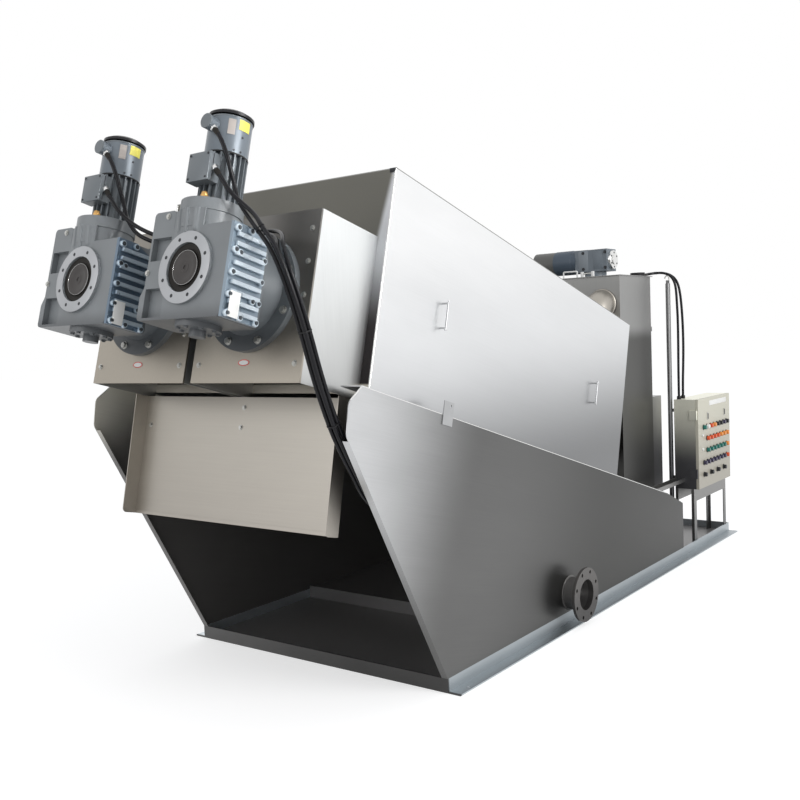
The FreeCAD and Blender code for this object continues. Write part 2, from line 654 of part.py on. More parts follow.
def make_outlet():
    """Pipe stub with a bolted flange, turned about its own axis."""
    body = new_body("outlet_stub")
    profile = new_sketch(body, "XZ_Plane", "profile")
    inside = half_base - S["sheet"] - S["ledge"] / 4
    face = half_base + S["outlet_reach"]
    neck = face - S["outlet_flange_wall"]
    outline(profile, [(inside, S["outlet_bore"] / 2), (face, S["outlet_bore"] / 2),
                      (face, S["outlet_flange"] / 2), (neck, S["outlet_flange"] / 2),
                      (neck, S["outlet_pipe"] / 2), (inside, S["outlet_pipe"] / 2)])
    turned = body.newObject("PartDesign::Revolution", "outlet_turned")
    turned.Profile = profile
    turned.ReferenceAxis = (profile, ["H_Axis"])
    turned.Angle = 360
    hole = new_sketch(body, "YZ_Plane", "hole", face)
    turn = formula(180) / S["outlet_holes"]
    round_hole(hole, S["outlet_circle"] / 2 * sine(turn), S["outlet_circle"] / 2 * cosine(turn),
               S["outlet_hole"])
    drilled = pocket(body, hole, S["outlet_flange_wall"], "drilled")
    pattern = body.newObject("PartDesign::PolarPattern", "outlet_pattern")
    pattern.Originals = [drilled]
    pattern.Axis = (hole, ["N_Axis"])
    pattern.Angle = 360
    bind(pattern, Occurrences=S["outlet_holes"])
    body.Tip = pattern
    place(body, 0, front + S["outlet_at"], S["outlet_up"])
    keep(body, "outlet_stub")


# Hood over the screws

def hood_place(obj):
    return place(obj, 0, axis_y, axis_z, S["tilt"])


def roof_rise(run):
    """Roof above the screw axis at a run behind the box face."""
    return S["hood_high"] - (run - S["box_depth"]) * tangent(S["roof_fall"])


def ledge_rise(run):
    """Ledge above the screw axis at a run behind the box face."""
    return -S["hood_low"] - (run - S["box_depth"]) * tangent(S["roof_fall"])


def make_hood():
    near = S["box_depth"]
    far = S["box_depth"] + S["hood_length"]
    under_roof = S["sheet"]
    for name, start in (("left_hood_cover", -hood_half),
                        ("right_hood_cover", hood_half - S["sheet"])):
        body = new_body(name)
        side = outline(new_sketch(body, "YZ_Plane", "side", start),
                       [(near, ledge_rise(near)), (near, roof_rise(near) - under_roof),
                        (far, roof_rise(far) - under_roof), (far, ledge_rise(far))])
        pad(body, side, S["sheet"], "sheet_pad")
        keep(hood_place(body), name)
    roof = new_body("hood_roof")
    strip = outline(new_sketch(roof, "YZ_Plane", "side"),
                    [(near, roof_rise(near) - under_roof), (near, roof_rise(near)),
                     (far, roof_rise(far)), (far, roof_rise(far) - under_roof)])
    pad(roof, strip, S["hood_width"], "sheet_pad", middle=True)
    keep(hood_place(roof), "hood_roof")
    inside = hood_half - S["sheet"]
    wall = new_body("hood_front")
    face = rectangle(new_sketch(wall, "XZ_Plane", "face", -near), -inside, inside,
                     ledge_rise(near), roof_rise(near + S["sheet"]) - under_roof)
    for side in (-1, 1):
        round_hole(face, side * S["axis_pitch"] / 2, 0, S["screw_size"] + 2 * S["shaft_clear"])
    pad(wall, face, S["sheet"], "sheet_pad", reverse=True)
    keep(hood_place(wall), "hood_front")
    wall = new_body("hood_rear")
    face = rectangle(new_sketch(wall, "XZ_Plane", "face", -far), -inside, inside,
                     ledge_rise(far - S["sheet"]), roof_rise(far) - under_roof)
    pad(wall, face, S["sheet"], "sheet_pad")
    keep(hood_place(wall), "hood_rear")


def make_discharge_box(name, side):
    """Box open below and behind, with a separate plate for the gear unit."""
    body = new_body(f"{name}_discharge_box")
    half = S["box_width"] / 2
    outside = rectangle(new_sketch(body, "XZ_Plane", "outside", -S["front_plate"]),
                        -half, half, -S["box_low"], S["box_high"])
    pad(body, outside, S["box_depth"] - S["front_plate"], "outside_pad", reverse=True)
    inside = rectangle(new_sketch(body, "XZ_Plane", "inside", -S["front_plate"]),
                       -half + S["sheet"], half - S["sheet"],
                       -S["box_low"] - S["sheet"], S["box_high"] - S["sheet"])
    pocket(body, inside, S["box_depth"], "inside_cut")
    place(body, side * S["axis_pitch"] / 2, axis_y, axis_z, S["tilt"])
    keep(body, f"{name}_discharge_box")
    plate = new_body(f"{name}_gear_plate")
    face = rectangle(new_sketch(plate, "XZ_Plane", "face"),
                     -half, half, -S["box_low"], S["box_high"])
    round_hole(face, 0, 0, S["screw_size"] + 2 * S["shaft_clear"])
    pad(plate, face, S["front_plate"], "plate_pad", reverse=True)
    place(plate, side * S["axis_pitch"] / 2, axis_y, axis_z, S["tilt"])
    keep(plate, f"{name}_gear_plate")


def make_chute():
    """Shallow channel that hangs below the boxes and throws the cake forward."""
    body = new_body("discharge_chute")
    half = S["chute_width"] / 2
    plan = outline(new_sketch(body, "XY_Plane", "plan"),
                   [(-half, 0), (-half, -S["chute_depth"]),
                    (-half + S["sheet"], -S["chute_depth"]), (-half + S["sheet"], -S["sheet"]),
                    (half - S["sheet"], -S["sheet"]), (half - S["sheet"], -S["chute_depth"]),
                    (half, -S["chute_depth"]), (half, 0)])
    channel = pad(body, plan, S["chute_length"], "channel", reverse=True)
    lower = (-S["chute_depth"], -S["chute_length"])
    round_edges(body, channel, [lower], S["chute_corner"])
    hem = rectangle(new_sketch(body, "XZ_Plane", "hem", S["sheet"]),
                    -half + S["sheet"], half - S["sheet"],
                    -S["chute_length"], -S["chute_length"] + S["chute_hem"])
    pad(body, hem, S["chute_hem_wall"], "hem_pad")
    y, z = along_screw(S["chute_set"], -S["box_low"] - S["seat_gap"])
    place(body, 0, y, z, S["chute_lean"])
    keep(body, "discharge_chute")


# Gear units with their motors

def unit_place(obj, side):
    return place(obj, side * S["axis_pitch"] / 2, axis_y, axis_z, S["tilt"])


def gear_flange(name):
    """Round flange with the conical neck that carries the housing."""
    body = new_body(f"{name}_gear_flange")
    profile = new_sketch(body, "YZ_Plane", "profile")
    bore = S["shaft_size"] / 2 + S["shaft_clear"]
    wall = -S["gear_flange_wall"]
    end = -S["gear_back"]
    outline(profile, [(0, bore), (0, S["gear_flange"] / 2), (wall, S["gear_flange"] / 2),
                      (wall, S["neck_large"] / 2), (end, S["neck_small"] / 2), (end, bore)])
    turned = body.newObject("PartDesign::Revolution", f"{body.Name}_turned")
    turned.Profile = profile
    turned.ReferenceAxis = (profile, ["H_Axis"])
    turned.Angle = 360
    return body


def make_gear_housing(name, side):
    """Cast bevel gear housing: stepped block with recesses, sump, ring and motor adapter."""
    body = new_body(f"{name}_gear_casting")
    left, right = -S["gear_left"], S["gear_right"] - S["cover_plate"]
    upper = -S["gear_left_upper"]
    shoulder = left + S["shoulder_width"]
    low, top = -S["gear_low"], S["gear_top"]
    step_low = -S["gear_step"] - S["gear_step_height"] / 2
    step_high = -S["gear_step"] + S["gear_step_height"] / 2
    depth = S["gear_front"] - S["gear_back"]
    corners = [(left, low), (right, low), (right, top), (shoulder, top),
               (shoulder, S["gear_shoulder"]), (upper, S["gear_shoulder"]),
               (upper, step_high), (left, step_low)]
    face = outline(new_sketch(body, "XZ_Plane", "face", S["gear_back"]), corners)
    block = pad(body, face, depth, "block")
    round_edges(body, block, [corners[0], corners[1], corners[4], corners[5]],
                S["gear_round"], ("x", "z"))
    inside = upper + S["gear_margin"]
    recess = new_sketch(body, "XZ_Plane", "recess", S["gear_front"])
    rectangle(recess, inside, inside + S["gear_pocket_width"],
              S["upper_pocket_low"], S["upper_pocket_high"])
    rectangle(recess, inside, inside + S["gear_pocket_width"],
              low + S["gear_margin"], -S["lower_pocket_high"])
    pocket(body, recess, S["gear_pocket"], "recess_cut")
    middle = -(S["gear_front"] + S["gear_back"]) / 2
    sump = new_sketch(body, "XY_Plane", "sump", low)
    round_hole(sump, 0, middle, depth - 2 * S["gear_margin"])
    pad(body, sump, S["sump_depth"], "sump_pad", reverse=True)
    drain = new_sketch(body, "XY_Plane", "drain", low)
    round_hole(drain, 0, middle, S["drain_boss"])
    pad(body, drain, S["drain_depth"], "drain_pad", reverse=True)
    tower = new_sketch(body, "XY_Plane", "adapter", top)
    round_hole(tower, -S["adapter_shift"], -S["adapter_set"], S["adapter"])
    pad(body, tower, S["adapter_up"] - top, "adapter_pad")
    ring = new_sketch(body, "XZ_Plane", "ring", S["gear_front"] - S["gear_pocket"])
    round_hole(ring, 0, 0, S["gear_ring"])
    pad(body, ring, S["gear_pocket"] + S["gear_ring_wall"], "ring_pad")
    through = new_sketch(body, "XZ_Plane", "bore", S["gear_back"])
    round_hole(through, 0, 0, S["shaft_bore"])
    pocket(body, through, S["gear_front"], "bore_cut", reverse=True)
    seal = new_sketch(body, "XZ_Plane", "seal", S["gear_front"] + S["gear_ring_wall"])
    round_hole(seal, 0, 0, S["seal_bore"])
    pocket(body, seal, S["seal_depth"], "seal_cut")
    joined = fuse(f"{name}_gear_housing", [gear_flange(name), body])
    keep(unit_place(joined, side), f"{name}_gear_housing")


def make_gear_cover(name, side):
    """Finned side cover with a cut upper back corner."""
    body = new_body(f"{name}_gear_cover")
    inside = S["gear_right"] - S["cover_plate"]
    near, far = -S["gear_front"], -S["cover_back"]
    corner = (far - near) / 2
    plate = outline(new_sketch(body, "YZ_Plane", "plate", inside),
                    [(near, -S["gear_low"]), (far, -S["gear_low"]),
                     (far, S["gear_top"] - corner / 2), (far - corner, S["gear_top"]),
                     (near, S["gear_top"])])
    pad(body, plate, S["cover_plate"], "plate_pad")
    rib = new_sketch(body, "YZ_Plane", "fin", S["gear_right"])
    bottom = -S["gear_low"] + S["cover_fin_pitch"] / 2
    rectangle(rib, near + S["cover_fin"], far - S["cover_fin"], bottom, bottom + S["cover_fin"])
    fin = pad(body, rib, S["cover_wall"] - S["cover_plate"], "fin_pad")
    row = body.newObject("PartDesign::LinearPattern", f"{body.Name}_fins")
    row.Originals = [fin]
    row.Direction = (rib, ["V_Axis"])
    bind(row, Length=S["cover_fin_pitch"] * (S["cover_fins"] - 1), Occurrences=S["cover_fins"])
    body.Tip = row
    keep(unit_place(body, side), f"{name}_gear_cover")


def make_screw_shaft(name, side):
    """Hollow gear shaft with the screw shaft behind it; both turn together."""
    body = new_body(f"{name}_screw_shaft")
    profile = new_sketch(body, "YZ_Plane", "profile")
    end = -(S["gear_front"] + S["gear_ring_wall"] - S["shaft_set"])
    step = -S["shaft_clear"]
    inside = S["box_depth"] + S["screw_reach"]
    outline(profile, [(inside, 0), (inside, S["screw_size"] / 2), (step, S["screw_size"] / 2),
                      (step, S["shaft_size"] / 2), (end, S["shaft_size"] / 2),
                      (end, S["shaft_recess"] / 2),
                      (end + S["shaft_recess_depth"], S["shaft_recess"] / 2),
                      (end + S["shaft_recess_depth"], 0)])
    turned = body.newObject("PartDesign::Revolution", f"{body.Name}_turned")
    turned.Profile = profile
    turned.ReferenceAxis = (profile, ["H_Axis"])
    turned.Angle = 360
    keep(unit_place(body, side), f"{name}_screw_shaft")


def slanted_gland(name, x, z, length):
    """A cable gland on a motor, in unit places, that points down and to the right."""
    bar = doc.addObject("Part::Cylinder", name)
    bind(bar, Radius=S["gland"] / 2, Height=length)
    bar.Placement = FreeCAD.Placement(
        FreeCAD.Vector(0, 0, 0),
        FreeCAD.Rotation(FreeCAD.Vector(0, 1, 0), 90 + S["gland_turn"].number))
    bar.setExpression("Placement.Rotation.Angle", f"(90 + {S['gland_turn'].text}) * 1 deg")
    for key, value in (("x", x), ("y", -S["motor_set"] - S["gland_set"]), ("z", z)):
        bar.setExpression(f"Placement.Base.{key}", formula(value).text)
    return bar


def terminal_block(name):
    """Space of the terminal box, on the front of the motor."""
    half = S["terminal_width"] / 2
    return box(name, (-half, half),
               (-S["motor_set"] - S["terminal_face"], -S["motor_set"] - S["terminal_back"]),
               (S["terminal_up"], S["terminal_up"] + S["terminal_height"]))


def make_motor(name, side):
    """Motor body: a core with fins all round and a flat seat for the terminal box."""
    base = S["adapter_up"]
    pieces = [rod(f"{name}_motor_core", S["motor_core"], S["motor_length"],
                  0, -S["motor_set"], base)]
    half = S["motor_fin_wall"] / 2
    count = int(S["motor_fins"].number / 2)
    for i in range(count):
        fin = doc.addObject("Part::Box", f"{name}_motor_fin_{i}")
        bind(fin, Length=S["motor_size"], Width=S["motor_fin_wall"], Height=S["motor_length"])
        angle = Formula(i * 180.0 / count, f"({i} * 180 / ({S['motor_fins'].text} / 2))")
        turn = FreeCAD.Rotation(FreeCAD.Vector(0, 0, 1), max(angle.number, 0.001))
        fin.Placement = FreeCAD.Placement(FreeCAD.Vector(0, 0, 0), turn)
        fin.setExpression("Placement.Rotation.Angle", f"({angle.text}) * 1 deg")
        x = -S["motor_size"] / 2 * cosine(angle) + half * sine(angle)
        y = -S["motor_set"] - S["motor_size"] / 2 * sine(angle) - half * cosine(angle)
        for key, value in (("x", x), ("y", y), ("z", base)):
            fin.setExpression(f"Placement.Base.{key}", formula(value).text)
        pieces.append(fin)
    finned = fuse(f"{name}_motor_finned", pieces)
    keep(unit_place(cut(f"{name}_motor", finned, terminal_block(f"{name}_seat")), side),
         f"{name}_motor")


def make_cowl(name, side):
    """Fan cowl with its round junction box, and the dished canopy above it."""
    base = S["adapter_up"] + S["motor_length"]
    top = base + S["cowl_length"]
    cowl = rod(f"{name}_cowl_drum", S["cowl_size"], S["cowl_length"], 0, -S["motor_set"], base)
    junction = rod(f"{name}_cowl_box", S["fan_box"], S["fan_box_face"],
                   0, -S["motor_set"], S["fan_box_up"], (0, -1, 0))
    gland = slanted_gland(f"{name}_fan_gland", 0, S["fan_box_up"], S["fan_gland"])
    cap = new_body(f"{name}_canopy")
    profile = new_sketch(cap, "XZ_Plane", "profile")
    stem = S["cowl_size"] / 6
    brim = S["cap_size"] / 2
    under = top + S["cap_gap"]
    outline(profile, [(0, top), (stem, top), (stem, under), (brim, under),
                      (brim, under + S["cap_rise"] / 2), (brim * 0.8, under + S["cap_rise"]),
                      (0, under + S["cap_rise"] * 0.8)])
    turned = cap.newObject("PartDesign::Revolution", f"{cap.Name}_turned")
    turned.Profile = profile
    turned.ReferenceAxis = (profile, ["V_Axis"])
    turned.Angle = 360
    place(cap, 0, -S["motor_set"], 0)
    keep(unit_place(fuse(f"{name}_fan_cowl", [cowl, junction, gland, cap]), side),
         f"{name}_fan_cowl")


def make_terminal_box(name, side):
    """Terminal box with its cable gland on the lower right."""
    start = S["terminal_width"] / 2 - S["gland_in"]
    gland = slanted_gland(f"{name}_terminal_gland", start, S["gland_up"], S["gland_length"])
    joined = fuse(f"{name}_terminal_box", [terminal_block(f"{name}_terminal"), gland])
    keep(unit_place(joined, side), f"{name}_terminal_box")


def make_gear_unit(name, side):
    make_gear_housing(name, side)
    make_gear_cover(name, side)
    make_screw_shaft(name, side)
    make_motor(name, side)
    make_cowl(name, side)
    make_terminal_box(name, side)


# Mixing tank with its drive

def make_mixing_tank():
    body = new_body("mixing_tank")
    half = S["tank_width"] / 2
    y0 = tank_front
    y1 = y0 + S["tank_length"]
    shell = rectangle(new_sketch(body, "XY_Plane", "shell", floor_top), -half, half, y0, y1)
    rectangle(shell, -half + S["sheet"], half - S["sheet"], y0 + S["sheet"], y1 - S["sheet"])
    pad(body, shell, S["tank_top"] - floor_top, "shell_pad")
    wide = S["band_wall"]
    band = rectangle(new_sketch(body, "XY_Plane", "band", S["band_up"]),
                     -half - wide, half + wide, y0 - wide, y1 + wide)
    rectangle(band, -half + S["sheet"] / 2, half - S["sheet"] / 2,
              y0 + S["sheet"] / 2, y1 - S["sheet"] / 2)
    pad(body, band, S["band_height"], "band_pad")
    keep(body, "mixing_tank")
    lip = S["lid_lip"]
    keep(box("mixing_tank_lid", (-half - lip, half + lip), (y0 - lip, y1 + lip),
             (S["tank_top"], S["tank_top"] + S["sheet"])), "mixing_tank_lid")
    make_probe(y1, S["tank_top"] + S["sheet"])
    y2 = y1 + S["chamber_length"]
    body = new_body("rear_chamber")
    plan = rectangle(new_sketch(body, "XY_Plane", "shell", floor_top), -half, half, y1, y2)
    rectangle(plan, -half + S["sheet"], half - S["sheet"], y1 + S["sheet"], y2 - S["sheet"])
    pad(body, plan, S["chamber_top"] - floor_top, "shell_pad")
    keep(body, "rear_chamber")
    keep(box("rear_chamber_lid", (-half, half), (y1, y2),
             (S["chamber_top"], S["chamber_top"] + S["sheet"])), "rear_chamber_lid")


def make_probe(rear, base):
    """Low round head of the level probe on the lid, with two cable glands."""
    y = rear - S["probe_inset"]
    pieces = [rod("probe_head", S["probe"], S["probe_height"], S["probe_out"], y, base)]
    for i, turn in enumerate((-1, 1)):
        pieces.append(rod(f"probe_gland_{i}", S["gland"] * 0.9, S["probe_gland_reach"],
                          S["probe_out"] + turn * S["probe_gland_pitch"] / 2, y,
                          base + S["probe_gland_up"], (0, 1, 0)))
    keep(fuse("level_probe", pieces), "level_probe")


def make_feed_pipe(name, side):
    """Pipe from the mixing tank down to the hood rear, in two bends."""
    x = side * S["feed_spread"] / 2
    drop_y = tank_front - S["feed_bend"]
    face_y, face_z = along_screw(S["box_depth"] + S["hood_length"], 0)
    corner_z = face_z - (drop_y - face_y) * tangent(S["tilt"])
    half_turn = (90 + S["tilt"]) / 2
    trim = S["feed_bend"] * tangent(half_turn)
    upper = elbow(f"{name}_upper_bend", x, tank_front, S["feed_up"] - S["feed_bend"], formula(90), 90)
    straight = rod(f"{name}_drop", S["feed_pipe"],
                   S["feed_up"] - S["feed_bend"] - corner_z - trim,
                   x, drop_y, corner_z + trim)
    lower = elbow(f"{name}_lower_bend", x, drop_y - S["feed_bend"], corner_z + trim,
                  90 + S["tilt"], -90 - S["tilt"].number)
    run = (drop_y - face_y) / cosine(S["tilt"]) - trim
    last = doc.addObject("Part::Cylinder", f"{name}_last_run")
    bind(last, Radius=S["feed_pipe"] / 2, Height=run)
    turn = FreeCAD.Rotation(FreeCAD.Vector(1, 0, 0), 90 - S["tilt"].number)
    last.Placement = FreeCAD.Placement(FreeCAD.Vector(0, 0, 0), turn)
    start_y, start_z = along_screw(S["box_depth"] + S["hood_length"] + run, 0)
    for key, value in (("x", x), ("y", start_y), ("z", start_z)):
        last.setExpression(f"Placement.Base.{key}", formula(value).text)
    last.setExpression("Placement.Rotation.Angle", f"(90 - {S['tilt'].text}) * 1 deg")
    keep(fuse(f"{name}_feed_pipe", [upper, straight, lower, last]), f"{name}_feed_pipe")


def elbow(name, x, y, z, sweep, start):
    """A pipe bend in the YZ plane about a centre; start is its first angle from Y."""
    bend = doc.addObject("Part::Torus", name)
    bind(bend, Radius1=S["feed_bend"], Radius2=S["feed_pipe"] / 2, Angle3=sweep)
    first = FreeCAD.Rotation(FreeCAD.Vector(0, 0, 1), start)
    stand = FreeCAD.Rotation(FreeCAD.Vector(1, 1, 1), 120)
    bend.Placement = FreeCAD.Placement(FreeCAD.Vector(0, 0, 0), stand.multiply(first))
    for key, value in (("x", x), ("y", y), ("z", z)):
        bend.setExpression(f"Placement.Base.{key}", formula(value).text)
    return bend


def make_mixer():
    y = tank_front + S["tank_length"] / 2
    start = S["mixer_start"]
    motor = rod("mixer_motor_bar", S["mixer_size"], S["mixer_length"],
                start - S["mixer_length"], y, S["mixer_up"], (1, 0, 0))
    keep(group("mixer_motor", [motor]), "mixer_motor")
    half = S["mixer_gear_size"] / 2
    block = box("mixer_gear_block", (start, start + S["mixer_gear"]), (y - half, y + half),
                (S["mixer_up"] - half, S["mixer_up"] + half))
    base = S["tank_top"] + S["sheet"]
    foot = rod("mixer_foot", S["mixer_gear_size"], S["mixer_up"] - half - base,
               start + S["mixer_gear"] / 2, y, base)
    keep(fuse("mixer_gear", [block, foot]), "mixer_gear")


# Control cabinet on its stand

def make_cabinet():
    y1 = back - S["cabinet_inset"]
    y0 = y1 - S["cabinet_width"]
    base = floor_top + S["stand_height"]
    top = base + S["cabinet_height"]
    rear = S["cabinet_out"] - S["cabinet_depth"]
    face = S["cabinet_out"] - S["door_wall"] - S["door_gap"]
    body = new_body("cabinet_body")
    shell = rectangle(new_sketch(body, "YZ_Plane", "outside", rear), y0, y1, base, top)
    pad(body, shell, face - rear, "outside_pad")
    inside = rectangle(new_sketch(body, "YZ_Plane", "inside", face), y0 + S["sheet"],
                       y1 - S["sheet"], base + S["sheet"], top - S["sheet"])
    pocket(body, inside, face - rear - S["sheet"], "inside_cut")
    keep(body, "cabinet_body")
    door = box("cabinet_door", (S["cabinet_out"] - S["door_wall"], S["cabinet_out"]),
               (y0, y1), (base, top))
    keep(door, "cabinet_door")
    make_buttons(y0, top)
    make_hinges(y0, base, top)
    make_stand(y0, y1, rear)
    make_conduit(y0, rear, base, top)
    glands = [rod(f"cabinet_gland_{i}", S["gland"] * 1.2, S["cabinet_gland"],
                  S["cabinet_gland_out"], y0 + S[f"{order}_gland_at"], top)
              for i, order in enumerate(("first", "second"))]
    keep(group("cabinet_glands", glands), "cabinet_glands")
    make_tray(y0)


def make_buttons(y0, top):
    """Push buttons and selectors in rows on the door, by places counted from the hinge side."""
    rows = (range(8), range(1, 8), range(1, 8), range(8), (0, 2, 4, 6))
    knobs = []
    for level, places in enumerate(rows):
        for i in places:
            y = y0 + S["button_inset"] + S["button_pitch"] * i
            z = top - S["button_drop"] - S["row_pitch"] * level
            knobs.append(rod(f"button_{level}_{i}", S["button_size"], S["button_reach"],
                             S["cabinet_out"], y, z, (1, 0, 0)))
    keep(group("door_buttons", knobs), "door_buttons")


def make_hinges(y0, base, top):
    """Two hinges on the side of the cabinet, with the barrel beside the door."""
    x = S["cabinet_out"] - S["door_wall"] / 2
    y = y0 - S["hinge_pin"] / 2 - S["hinge_gap"]
    face = S["cabinet_out"] - S["door_wall"] - 2 * S["door_gap"]
    half = S["hinge_wall"] / 2
    hinges = []
    for i, z in enumerate((base + S["hinge_inset"], top - S["hinge_inset"] - S["hinge_height"])):
        height = (z, z + S["hinge_height"])
        barrel = rod(f"hinge_barrel_{i}", S["hinge_pin"], S["hinge_height"], x, y, z)
        leaf = box(f"hinge_leaf_{i}", (face - S["hinge_leaf"], face),
                   (y0 - S["hinge_wall"], y0), height)
        neck = box(f"hinge_neck_{i}", (face - half, x), (y0 - S["hinge_wall"], y0 - half), height)
        hinges.append(fuse(f"hinge_{i}", [barrel, leaf, neck]))
    keep(group("cabinet_hinges", hinges), "cabinet_hinges")


def make_stand(y0, y1, rear):
    """Angle steel stand under the cabinet, open towards the side panel."""
    outer = inner - S["side_gap"]
    low, high = floor_top, floor_top + S["stand_height"]
    rail = high - S["rail_height"]
    leg, flange, wall = S["stand_leg"], S["stand_flange"], S["stand_wall"]
    pieces = []
    for i, (x0, x1) in enumerate(((rear, rear + wall), (outer - wall, outer))):
        pieces.append(box(f"stand_rail_{i}", (x0, x1), (y0, y1), (rail, high)))
        for j, (start, end) in enumerate(((y0, y0 + leg), (y1 - leg, y1))):
            pieces.append(box(f"stand_leg_{i}{j}", (x0, x1), (start, end), (low, high)))
    for i, (x0, x1) in enumerate(((rear, rear + flange), (outer - flange, outer))):
        for j, (start, end) in enumerate(((y0, y0 + wall), (y1 - wall, y1))):
            pieces.append(box(f"stand_flange_{i}{j}", (x0, x1), (start, end), (low, high)))
    pieces.append(box("stand_back_rail", (rear, outer), (y1 - wall, y1), (rail, high)))
    keep(fuse("cabinet_stand", pieces), "cabinet_stand")


def make_conduit(y0, rear, base, top):
    """Upright conduit behind the cabinet, clamped to it, with a saddle for the lid cables."""
    x, y = S["conduit_out"], y0 + S["conduit_set"]
    half = S["clamp"] / 2
    pieces = [rod("conduit_pipe", S["conduit"], S["conduit_top"] - floor_top, x, y, floor_top)]
    for i, z in enumerate((base + S["hinge_inset"], top - S["hinge_inset"])):
        pieces.append(box(f"conduit_clamp_{i}", (x, rear), (y - half, y + half),
                          (z - half, z + half)))
    saddle = S["saddle"] / 2
    pieces.append(box("conduit_saddle", (x - S["sheet"], x + S["sheet"]),
                      (y - saddle, y + saddle),
                      (S["conduit_top"] - saddle, S["conduit_top"] + saddle)))
    keep(fuse("cable_conduit", pieces), "cable_conduit")


def make_tray(y0):
    """Open cable tray from the end of the side panel to the cabinet."""
    body = new_body("cable_tray")
    x0, x1 = S["tray_out"], S["tray_out"] + S["tray_width"]
    low, high = S["tray_up"], S["tray_up"] + S["tray_lip"]
    start = front + S["tray_front"]
    section = outline(new_sketch(body, "XZ_Plane", "section", -start),
                      [(x0, low), (x1, low), (x1, high), (x1 - S["sheet"], high),
                       (x1 - S["sheet"], low + S["sheet"]), (x0 + S["sheet"], low + S["sheet"]),
                       (x0 + S["sheet"], high), (x0, high)])
    pad(body, section, y0 - start, "tray_pad", reverse=True)
    keep(body, "cable_tray")


# Handles

def bow_handle(name):
    """A straight grip on two short legs; it stands on the YZ plane and reaches along X."""
    rod_size, length, reach = S["handle_rod"], S["handle_length"], S["handle_reach"]
    half = length / 2 - rod_size
    grip = rod(f"{name}_grip", rod_size, length, reach, 0, -length / 2)
    legs = [rod(f"{name}_leg_{i}", S["handle_leg"], reach, 0, 0, turn * half, (1, 0, 0))
            for i, turn in enumerate((-1, 1))]
    return fuse(name, [grip] + legs)


def cover_handles(name, side):
    """Two handles on a hood cover, upright to the screw axis."""
    bows = []
    rear_run = S["box_depth"] + S["hood_length"] - S["handle_inset"]
    for i, (run, rise) in enumerate(((S["box_depth"] + S["handle_inset"], S["handle_rise"]),
                                     (rear_run, S["rear_handle_rise"]))):
        bow = bow_handle(f"{name}_bow_{i}")
        y, z = along_screw(run, rise)
        tilt = FreeCAD.Rotation(FreeCAD.Vector(1, 0, 0), -S["tilt"].number)
        turn = FreeCAD.Rotation(FreeCAD.Vector(0, 0, 1), 0 if side > 0 else 180)
        bow.Placement = FreeCAD.Placement(FreeCAD.Vector(0, 0, 0), tilt.multiply(turn))
        for key, value in (("x", side * hood_half), ("y", y), ("z", z)):
            bow.setExpression(f"Placement.Base.{key}", formula(value).text)
        bows.append(bow)
    return bows


def make_catch():
    """Flat plate with a hole on the top edge of the right side panel."""
    half, high = S["catch_length"] / 2, S["catch_height"] / 2
    plate = box("catch_sheet", (0, S["sheet"]), (-half, half), (-high, high))
    hole = rod("catch_hole", S["catch_hole"], S["sheet"], 0, S["catch_hole_back"],
               S["catch_hole_rise"], (1, 0, 0))
    y = front + S["catch_at"]
    return place(cut("catch_plate", plate, hole), half_base, y,
                 panel_top(y) + S["catch_rise"], S["tilt"])


def make_handles():
    """Handles on both hood covers and the catch plate on the right side panel."""
    keep(group("handles", cover_handles("left", -1) + cover_handles("right", 1)
               + [make_catch()]), "handles")


# Cables and their trunking

def make_trunking():
    """Cable trunking under the ledge of the right panel, with a box where cables go in."""
    body = new_body("cable_trunking")
    inside = half_base - S["sheet"]
    y0, y1 = front - S["trunk_front"], front + S["trunk_rear"]
    drop, low = S["trunk_drop"], S["trunk_drop"] + S["trunk_height"]
    side = outline(new_sketch(body, "YZ_Plane", "side", inside),
                   [(y0, panel_top(y0) - low), (y1, panel_top(y1) - low),
                    (y1, panel_top(y1) - drop), (y0, panel_top(y0) - drop)])
    pad(body, side, S["trunk_width"], "trunk_pad", reverse=True)
    y2 = y0 + S["entry_length"]
    entry = outline(new_sketch(body, "YZ_Plane", "entry", inside),
                    [(y0, S["entry_low"]), (y2, S["entry_low"]), (y2, panel_top(y2) - drop),
                     (y0, panel_top(y0) - drop)])
    pad(body, entry, S["trunk_width"] + S["return_flange"] / 2, "entry_pad", reverse=True)
    keep(body, "cable_trunking")


def in_unit(side, x, z):
    """Place of a point on the motor glands' plane, given in a gear unit."""
    y, up = along_screw(-S["motor_set"] - S["gland_set"], z)
    return FreeCAD.Vector((side * S["axis_pitch"] / 2 + x).number, y.number, up.number)


def gland_mouth(side, x, z, length):
    """Mouth of a slanted gland on a motor."""
    turn = S["gland_turn"]
    return in_unit(side, x + length * cosine(turn), z - length * sine(turn))


def motor_cable_ends(name):
    """Ends of a motor's cable: the mouth of its gland and its entry into the trunking."""
    side = -1 if name.startswith("left") else 1
    if name.endswith("fan_cable"):
        turn = -1
        start = gland_mouth(side, 0, S["fan_box_up"], S["fan_gland"])
    else:
        turn = 1
        start = gland_mouth(side, S["terminal_width"] / 2 - S["gland_in"], S["gland_up"],
                            S["gland_length"])
    half = S["cable_entry_pitch"] / 2
    end = FreeCAD.Vector(
        (S["cable_entry_out"] + turn * half).number,
        (front - S["trunk_front"] + S["cable_entry_at"] + side * half).number,
        S["entry_low"].number)
    return start, end


